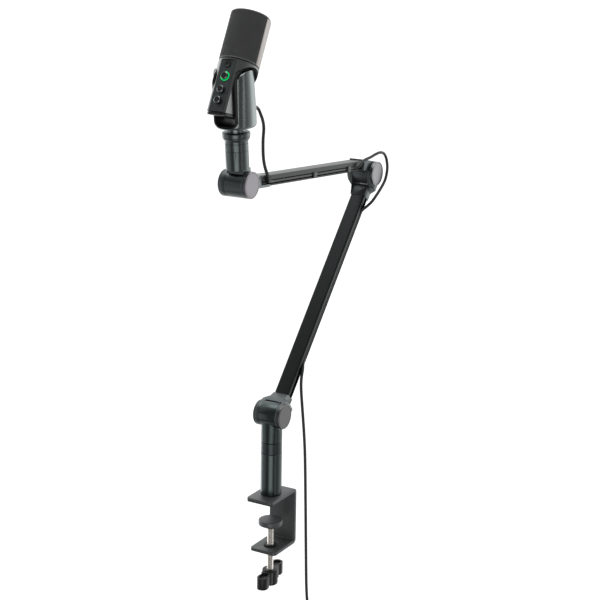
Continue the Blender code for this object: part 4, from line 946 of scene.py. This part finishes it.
def make_controls():
    """Front panel, mute button, knobs with ribbed sides and the ring of light."""
    low = (-PANEL_FRONT, -PANEL_HALF, -SEAM_DROP - 0.0042)
    panel = box(low, (-PANEL_FRONT + PANEL_THICK, PANEL_HALF, PANEL_TOP), MIC)
    for height, radius in ((MUTE_HEIGHT, 0.0039), (GAIN_HEIGHT, 0.0057), (MIX_HEIGHT, 0.0019),
            (VOLUME_HEIGHT, 0.0019)):
        boolean(panel, rod(radius, -0.03, -0.015, MIC, "X", (0, 0, height)))
    for height, radius in ((MUTE_HEIGHT, 0.0047), (MIX_HEIGHT, 0.0047), (VOLUME_HEIGHT, 0.0047)):
        boolean(panel, rod(radius, -0.03, -PANEL_FRONT + 0.0003, MIC, "X", (0, 0, height)))
    finished(panel, "control_panel", "microphone", "panel_anthracite")
    face = -PANEL_FRONT - 0.0008
    button = [(0, -0.0188), (0.0036, -0.0188), (0.0036, face + 0.0004), (0.0034, face + 0.0001),
        (0.0031, face), (0.0024, face), (0.0021, face + 0.0002), (0, face + 0.00035)]
    finished(turned(button, MIC, "X", (0, 0, MUTE_HEIGHT)), "mute_button", "mute", "control_plastic", soft=0)
    for node, body, radius, height, proud in (("gain_knob", "gain", 0.0042, GAIN_HEIGHT, 0.0024),
            ("mix_knob", "mix", 0.0041, MIX_HEIGHT, 0.0034),
            ("volume_knob", "volume", 0.0041, VOLUME_HEIGHT, 0.0040)):
        make_knob(node, body, radius, height, proud)
    make_light_ring()


def make_knob(node, body, radius, height, proud):
    """A small knob with fine ribs round its side, a bright chamfer and a pointer groove."""
    foot, face, shaft = -PANEL_FRONT - 0.0004, -PANEL_FRONT - proud, 0.0015
    ribs, points = 36, []
    for i in range(ribs):
        for share, depth in ((0.0, 0.0), (0.5, 0.00014)):
            angle = 2 * pi * (i + share) / ribs
            points.append(((radius - depth) * cos(angle), height + (radius - depth) * sin(angle)))
    knob = prism([points], face + 0.0006, foot, MIC, "X")
    top = [(0, face + 0.0008), (radius - 0.0008, face + 0.0008), (radius - 0.0008, face + 0.0002),
        (radius - 0.0010, face), (radius - 0.0017, face), (0, face + 0.00025)]
    boolean(knob, turned(top, MIC, "X", (0, 0, height), 48), "UNION")
    boolean(knob, rod(shaft, -0.0136, foot - 0.0004, MIC, "X", (0, 0, height)), "UNION")
    boolean(knob, box((face - 0.001, -0.0003, height + 0.0012),
        (face + 0.0004, 0.0003, height + radius - 0.0009), MIC))
    finished(knob, node, body, "control_plastic", soft=0.00008, crease=30)
    rim = [(radius, face + 0.00062), (radius - 0.0006, face + 0.0001), (radius - 0.0008, face + 0.0001),
        (radius - 0.0008, face + 0.00058)]
    edge = turned(rim, MIC, "X", (0, 0, height), 64, ring=True)
    finished(edge, None, body, "knob_edge", soft=0, name=node + "_rim")


def make_light_ring():
    """The light round the first knob: lit from its top clockwise to its lower left, and dark for the rest."""
    front, back, inner, outer = -PANEL_FRONT - 0.0004, -PANEL_FRONT + 0.0013, 0.0046, 0.0054
    for name, sweep, finish in (("gain_light_lit", (88, 348), "light_on"),
            ("gain_light_dark", (-9, 85), "light_off")):
        outline = arc((0, GAIN_HEIGHT), outer, *sweep, 40) + arc((0, GAIN_HEIGHT), inner, *sweep[::-1], 40)
        piece = prism([outline], front, back, MIC, "X")
        finished(piece, "gain_light_ring", "microphone", finish, soft=0.00012, name=name)


def make_head():
    """Rear shell, the woven grille over its foam, and the rim at its top."""
    r, low = MIC_RADIUS, HEM + 3 * GAP
    top = HEAD_TOP - HEAD_SOFT - GAP
    inner = r - GRILLE_WALL
    edge = degrees(GRILLE_HALF_ANGLE + 0.012)
    outline = arc((0, 0), r, edge - 180, 180 - edge, 48) + arc((0, 0), inner, 180 - edge, edge - 180, 48)
    finished(prism([outline], low, top, MIC), "head_back_shell", "microphone", "rear_shell_satin",
        soft=0.0003)
    foam_r, cut = r - 0.0006, 0.0006
    soft = HEAD_SOFT - cut
    crown = HEAD_TOP - cut
    cup = ([(0, crown)] + arc((foam_r - soft, crown - soft), soft, 90, 0, 8)
        + [(foam_r, low + 0.0004), (inner, low + 0.0004), (inner, crown - 0.0007), (0, crown - 0.0007)])
    foam = turned(cup, MIC, sides=96)
    leave_front(foam, top + GAP)
    finished(foam, "grille", "microphone", "grille_foam", soft=0, name="grille_foam")
    make_mesh(low, r)


def leave_front(obj, top):
    """Cut away the part of a ring that the rear shell takes up."""
    rest = degrees(pi - GRILLE_HALF_ANGLE)
    wedge = [(0, 0)] + arc((0, 0), 0.035, -rest, rest, 24)
    boolean(obj, prism([wedge], 0.01, top, MIC))


def make_mesh(low, radius):
    """The grille's wires: a diamond lattice over the side and the rounded edge, and a flat one on top."""
    pitch, wire = 0.00135, 0.00016
    r = radius - wire
    straight = HEAD_TOP - HEAD_SOFT - low
    rows = 2 * round((straight + HEAD_SOFT * pi / 2) / pitch)
    climb = (straight + HEAD_SOFT * pi / 2) / rows
    columns = 2 * round(GRILLE_HALF_ANGLE * r / pitch)
    turn = 2 * GRILLE_HALF_ANGLE / columns

    def spot(row, column):
        """A crossing of the wires: up the side, then round the edge."""
        s = row * climb
        out, up = r, low + s
        if s > straight:
            bend = (s - straight) / HEAD_SOFT
            out = r - HEAD_SOFT + HEAD_SOFT * cos(bend)
            up = HEAD_TOP - HEAD_SOFT + (HEAD_SOFT - wire) * sin(bend)
        angle = pi - GRILLE_HALF_ANGLE + turn * (column + 0.5 * (row % 2))
        return Vector((out * cos(angle), out * sin(angle), up))

    side = [diamond(row, column) for row in range(rows - 1) for column in range(1 - row % 2, columns)]
    lattice("grille_side_wires", side, spot, wire)
    top_r = radius - HEAD_SOFT
    count = int(2 * top_r / pitch)

    def flat_spot(row, column):
        """A crossing of the wires on the flat top."""
        return Vector(((row - count) * pitch / 2, (column - count / 2 + 0.5 * (row % 2)) * pitch,
            HEAD_TOP - wire))

    cells = [diamond(row, column) for row in range(2 * count) for column in range(count + 1)]
    inside = [cell for cell in cells if all(flat_spot(*c).to_2d().length < top_r for c in cell)]
    lattice("grille_top_wires", inside, flat_spot, wire)
    hoop = arc((top_r + 0.0001, HEAD_TOP - wire - 0.0001), 0.00028, 0, 330, 11)[::-1]
    finished(turned(hoop, MIC, ring=True), None, "microphone", "grille_wire", soft=0, name="grille_hoop")
    band = [(radius, low + 0.0011), (radius, low), (radius - 0.0010, low), (radius - 0.0010, low + 0.0011)]
    hem = turned(band, MIC, ring=True)
    leave_front(hem, 0.05)
    finished(hem, None, "microphone", "grille_wire", soft=0.0001, name="grille_hem")


def diamond(row, column):
    """The four crossings round one cell of the lattice, from its lowest."""
    shift = row % 2
    return [(row, column), (row + 1, column - 1 + shift), (row + 2, column), (row + 1, column + shift)]


def lattice(name, cells, spot, wire):
    """Diamond cells turned into wires."""
    index, verts, faces = {}, [], []
    for cell in cells:
        face = []
        for corner in cell:
            if corner not in index:
                index[corner] = len(verts)
                verts.append(spot(*corner))
            face.append(index[corner])
        faces.append(face)
    mesh = bpy.data.meshes.new(name)
    mesh.from_pydata(verts, [], faces)
    obj = place(mesh, MIC)
    thin = obj.modifiers.new("wires", "WIREFRAME")
    thin.thickness = 2 * wire
    thin.use_boundary = True
    thin.use_even_offset = False
    finished(obj, None, "microphone", "grille_wire", soft=0, crease=180, name=name)


# ---------------- cable
def smooth_route(route, step):
    """Evenly spaced points on a Catmull-Rom curve through the points of a route."""
    points = [Vector(p) for p in route]
    points = [2 * points[0] - points[1]] + points + [2 * points[-1] - points[-2]]
    dense = []
    for a, b, c, d in zip(points, points[1:], points[2:], points[3:]):
        for i in range(20):
            t = i / 20
            dense.append(0.5 * (2 * b + (c - a) * t + (2 * a - 5 * b + 4 * c - d) * t * t
                + (3 * b - a - 3 * c + d) * t ** 3))
    dense.append(points[-2])
    total = sum((q - p).length for p, q in zip(dense, dense[1:]))
    count = max(2, round(total / step))
    spaced = [dense[0]]
    walked = 0.0
    for p, q in zip(dense, dense[1:]):
        length = (q - p).length
        while len(spaced) < count and walked + length >= total * len(spaced) / count:
            spaced.append(p.lerp(q, (total * len(spaced) / count - walked) / length))
        walked += length
    return spaced + [dense[-1]]


def hose(points, sides=14):
    """A mesh tube along points, with closed ends."""
    shape = bmesh.new()
    rings = []
    across = None
    for i, point in enumerate(points):
        ahead = (points[min(i + 1, len(points) - 1)] - points[max(i - 1, 0)]).normalized()
        if across is None:
            across = ahead.orthogonal().normalized()
        across = (across - ahead * across.dot(ahead)).normalized()
        other = ahead.cross(across)
        ring = []
        for k in range(sides):
            angle = 2 * pi * k / sides
            ring.append(shape.verts.new(point + CABLE_RADIUS * (cos(angle) * across + sin(angle) * other)))
        rings.append(ring)
    for a, b in zip(rings, rings[1:]):
        for k in range(sides):
            shape.faces.new((a[k], a[(k + 1) % sides], b[(k + 1) % sides], b[k]))
    shape.faces.new(rings[0][::-1])
    shape.faces.new(rings[-1])
    return as_mesh(shape)


def cable(name, points, nodes, length, body=None, bend=None, lay="hanging", far_end="object", with_pieces=()):
    """One stretch of the cable: rigid on a body, or bending from one body to another."""
    piece = settle(hose(points), None, body, "cable_sheath_skin", crease=60, name=name)
    if bend:
        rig.blend(piece, bend[0], bend[1], start=points[0], end=points[-1])
    for node in nodes:
        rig.replaces(piece, node)
    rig.cord(piece, exit=points[0], length=length, diameter=2 * CABLE_RADIUS, far_end=far_end,
        stiffness="medium", lay=lay, path=points, with_pieces=with_pieces)
    return piece


def lower_slot(along):
    """A point of the cable in the lower arm's slot, so far from the shoulder pin."""
    return LOWER @ Vector((LOWER_OFFSET + SLOT_SHIFT, CABLE_Y, along))


def upper_slot(along):
    """A point of the cable in the upper arm's slot, so far from the elbow pin."""
    return RUN @ Vector((-SLOT_SHIFT, CABLE_Y, along))


def cut_at(points, share):
    """The index of the point so far along a line of points."""
    return round(share * (len(points) - 1))


def coil_points(start):
    """The turns of the stored coil, top layer first, and the rise to the plug on top of it."""
    per_turn = 24
    radial = COIL_TURNS // COIL_LAYERS
    points = []
    first = atan2(start.y - COIL_CENTRE.y, start.x - COIL_CENTRE.x)
    for i in range(COIL_TURNS * per_turn + 1):
        turn = i / per_turn
        whole = min(int(turn), COIL_TURNS - 1)
        share = turn - whole
        ease = max(0.0, (share - 0.75) / 0.25)
        ease = ease * ease * (3 - 2 * ease)
        here, after = coil_seat(whole, radial), coil_seat(min(whole + 1, COIL_TURNS - 1), radial)
        radius = here[0] + (after[0] - here[0]) * ease
        height = here[1] + (after[1] - here[1]) * ease
        angle = first - 0.33 - 2 * pi * turn
        points.append(COIL_CENTRE + Vector((radius * cos(angle), radius * sin(angle), height)))
    return points


def coil_seat(turn, radial):
    """The radius and height of one turn: layers from the top down, each wound out and back."""
    layer, place_in = divmod(turn, radial)
    if layer % 2:
        place_in = radial - 1 - place_in
    height = CABLE_RADIUS + 2 * CABLE_RADIUS * (COIL_LAYERS - 1 - layer) + 0.0001
    return COIL_FIRST_RADIUS - COIL_PITCH * place_in, height


def make_cable():
    """Every stretch of the cable, from the microphone's plug to the far plug on the coil."""
    fine = 0.004
    out = [MIC @ Vector((RELIEF_END + beyond, 0, SOCKET_HEIGHT)) for beyond in (2 * GAP, LEAD / 2)]
    drop = smooth_route(out + DROP_ROUTE + [upper_slot(UPPER_RUN[1] + LEAD), upper_slot(UPPER_RUN[1])], fine)
    first, second, third = cut_at(drop, 0.30), cut_at(drop, 0.52), cut_at(drop, 0.80)
    cable("cable_drop_top", drop[:first + 1], ["cable_drop"], 0.040, bend=("microphone", "yoke_body"))
    cable("cable_drop_middle", drop[first:second + 1], ["cable_drop"], 0.032, bend=("yoke_body", "post"))
    cable("cable_drop_low", drop[second:third + 1], ["cable_drop"], 0.040, bend=("post", "upper_arm"))
    held = [upper_slot(UPPER_RUN[0] + (UPPER_RUN[1] - UPPER_RUN[0]) * i / 8) for i in range(9)]
    along = drop[third:] + held[::-1][1:]
    cable("cable_upper_run_skin", along, ["cable_upper_run", "cable_drop"], 0.198, body="upper_arm",
        lay="taut")
    loop = smooth_route([upper_slot(UPPER_RUN[0]), upper_slot(UPPER_RUN[0] - LEAD)] + ELBOW_ROUTE
        + [lower_slot(LOWER_RUN[1] + LEAD), lower_slot(LOWER_RUN[1])], fine)
    loop_in, loop_out = cut_at(loop, 0.20), cut_at(loop, 0.84)
    cable("cable_loop_start", loop[:loop_in + 1], ["cable_elbow_loop"], 0.040, body="upper_arm")
    cable("cable_loop", loop[loop_in:loop_out + 1], ["cable_elbow_loop"], 0.135,
        bend=("upper_arm", "lower_arm"))
    held = [lower_slot(LOWER_RUN[1] - (LOWER_RUN[1] - LOWER_RUN[0]) * i / 8) for i in range(9)]
    cable("cable_lower_run_skin", loop[loop_out:] + held[1:], ["cable_lower_run", "cable_elbow_loop"], 0.206,
        body="lower_arm", lay="taut")
    tail = smooth_route([lower_slot(LOWER_RUN[0]), lower_slot(LOWER_RUN[0] - LEAD)] + TAIL_ROUTE, 0.0065)
    top, mid, low = cut_at(tail, 0.10), cut_at(tail, 0.30), cut_at(tail, 0.62)
    cable("cable_tail_top", tail[:top + 1], ["cable_tail"], 0.039, body="lower_arm")
    cable("cable_tail_shoulder", tail[top:mid + 1], ["cable_tail"], 0.078, bend=("lower_arm", "turret"))
    cable("cable_tail_column", tail[mid:low + 1], ["cable_tail"], 0.123, bend=("turret", "base"))
    coil = coil_points(tail[-1])
    rest = smooth_route(tail[low:] + coil + coil_exit(coil), fine)
    cable("cable_stored", rest, ["cable_tail", "cable_coil"], 2.02, body="base", lay="coiled",
        far_end="plug", with_pieces=make_far_plug())


def coil_exit(coil):
    """The end of the cable, up from the lowest turn through the coil's eye to the plug."""
    low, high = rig.box("usb_plug")
    goal = Vector(((low.x + high.x) / 2, low.y, (low.z + high.z) / 2))
    ahead = (coil[-1] - coil[-2]).normalized()
    return [coil[-1] + ahead * 0.008 + Vector((0, 0, 0.0015)), COIL_CENTRE + Vector((0.003, -0.009, 0.0090)),
        COIL_CENTRE + Vector((-0.007, -0.016, 0.0175)), goal + Vector((0.003, -0.013, 0.0010)),
        goal + Vector((0.0004, -0.0065, 0.0003)), goal]


def make_far_plug():
    """The plug on the far end, with its steel shell."""
    low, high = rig.box("usb_plug")
    shell_y = low.y + 0.028
    grip = box(low, (high.x, shell_y, high.z), HERE)
    grip = finished(grip, "usb_plug", "base", "control_plastic", soft=0.0012, name="usb_plug_grip")
    inset = Vector((0.0015, 0, 0.0013))
    shell = box(Vector((low.x, shell_y + 0.0001, low.z)) + inset, high - inset, HERE)
    boolean(shell, box(Vector((low.x, shell_y + 0.002, low.z)) + 1.25 * inset,
        high - 1.25 * inset + Vector((0, 0.01, 0)), HERE))
    return [grip, finished(shell, None, "base", "zinc_steel", soft=0.0002, name="usb_plug_shell")]


# ---------------- CAD nodes that stay
def repaint():
    """Give the CAD nodes that are right as they are their own materials."""
    for node, finish in (("column_bolt", "zinc_steel"), ("swivel_spindle", "turned_steel"),
            ("swivel_stud", "turned_steel"), ("pivot_pin_near", "turned_steel"),
            ("pivot_pin_far", "turned_steel"), ("usb_socket", "zinc_steel"), ("circuit_board", "board_mask"),
            ("head_base", "control_plastic"), ("capsule", "capsule_gold")):
        dress(node, finish)
    for joint in ("shoulder", "elbow", "wrist"):
        dress(joint + "_pin", "turned_steel")
        dress(joint + "_washer", "zinc_steel")


def dress(node, finish):
    """One material on one CAD node."""
    slots = frame["nodes"][node].data.materials
    slots.clear()
    slots.append(LOOKS[finish][0])


# ---------------- studio
def make_studio():
    """White surround, soft lights on both sides, and the camera."""
    make_world()
    around = ((330, 1.20, 0.42, 0.85, 1.05, 0.66), (257, 1.30, -0.05, 0.22, 1.70, 0.80),
        (205, 2.20, -0.35, 1.50, 2.20, 1.25), (128, 1.50, -0.10, 1.20, 1.70, 0.36),
        (75, 1.40, 0.10, 0.80, 1.60, 1.40))
    for index, (azimuth, reach, height, width, tall, brightness) in enumerate(around):
        turn = radians(azimuth)
        where = (reach * cos(turn), reach * sin(turn), height)
        soft_light(f"bank_{index + 1}", where, (0, 0, height), (width, tall), brightness * pi * width * tall)
    soft_light("overhead", (0.1, 0.2, 1.7), (0, 0, 0.3), (1.2, 1.2), 7.0)
    make_camera()


def soft_light(name, where, target, size, power):
    """A rectangular light that faces a point."""
    lamp = bpy.data.lights.new(name, "AREA")
    lamp.shape = "RECTANGLE"
    lamp.size, lamp.size_y = size
    lamp.energy = power
    obj = add(name, lamp)
    obj.location = where
    obj.rotation_euler = (Vector(target) - Vector(where)).to_track_quat("-Z", "Y").to_euler()


def make_world():
    """A surround that is brighter behind the object than in front of it."""
    world = bpy.data.worlds.new("surround")
    bpy.context.scene.world = world
    world.use_nodes = True
    tree = world.node_tree
    spot = wired(tree, "TexCoord", "Generated", {})
    dot = wired(tree, "VectorMath", "Value", {0: spot, 1: (0.78, 0.30, 0.10)}, operation="DOT_PRODUCT")
    ramp = wired(tree, "MapRange", "Result", {"Value": dot, "From Min": -0.45, "From Max": 0.75,
        "To Min": 0.12, "To Max": 1.10}, interpolation_type="SMOOTHSTEP")
    seen = wired(tree, "LightPath", "Is Camera Ray", {})
    pick = wired(tree, "Mix", "Result", {"Factor": seen, "A": ramp, "B": 1.2}, data_type="FLOAT")
    feed(tree, tree.nodes["Background"], {"Strength": pick, "Color": (1, 1, 1, 1)})
    bpy.context.scene.view_settings.view_transform = "Standard"


def make_camera():
    """A long lens from the left of the arm, a little above it, with a slight roll."""
    lens = bpy.data.cameras.new("camera")
    lens.lens = 90.4
    lens.sensor_width = 36.0
    lens.clip_end = 100.0
    camera = add("camera", lens)
    turn, rise, roll = radians(-60.14), radians(14.74), radians(0.93)
    camera.location = (-1.5186, -0.9094, 0.7224)
    camera.rotation_euler = (Matrix.Rotation(turn, 3, "Z") @ Matrix.Rotation(pi / 2 - rise, 3, "X")
        @ Matrix.Rotation(roll, 3, "Z")).to_euler()
    bpy.context.scene.camera = camera


make_looks()
make_clamp()
make_column()
make_turret()
make_lower_arm()
make_upper_arm()
make_post()
make_yoke()
make_mic_body()
make_controls()
make_head()
clear_solids()
make_cable()
clear_solids()
repaint()
make_studio()


def as_lists(bounds):
    """A box as plain lists."""
    return [[float(c) for c in corner] for corner in bounds]


with open("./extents.json", "w") as out:
    json.dump({"cad": as_lists(CAD_BOX), "visual": as_lists(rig.bounds())}, out)
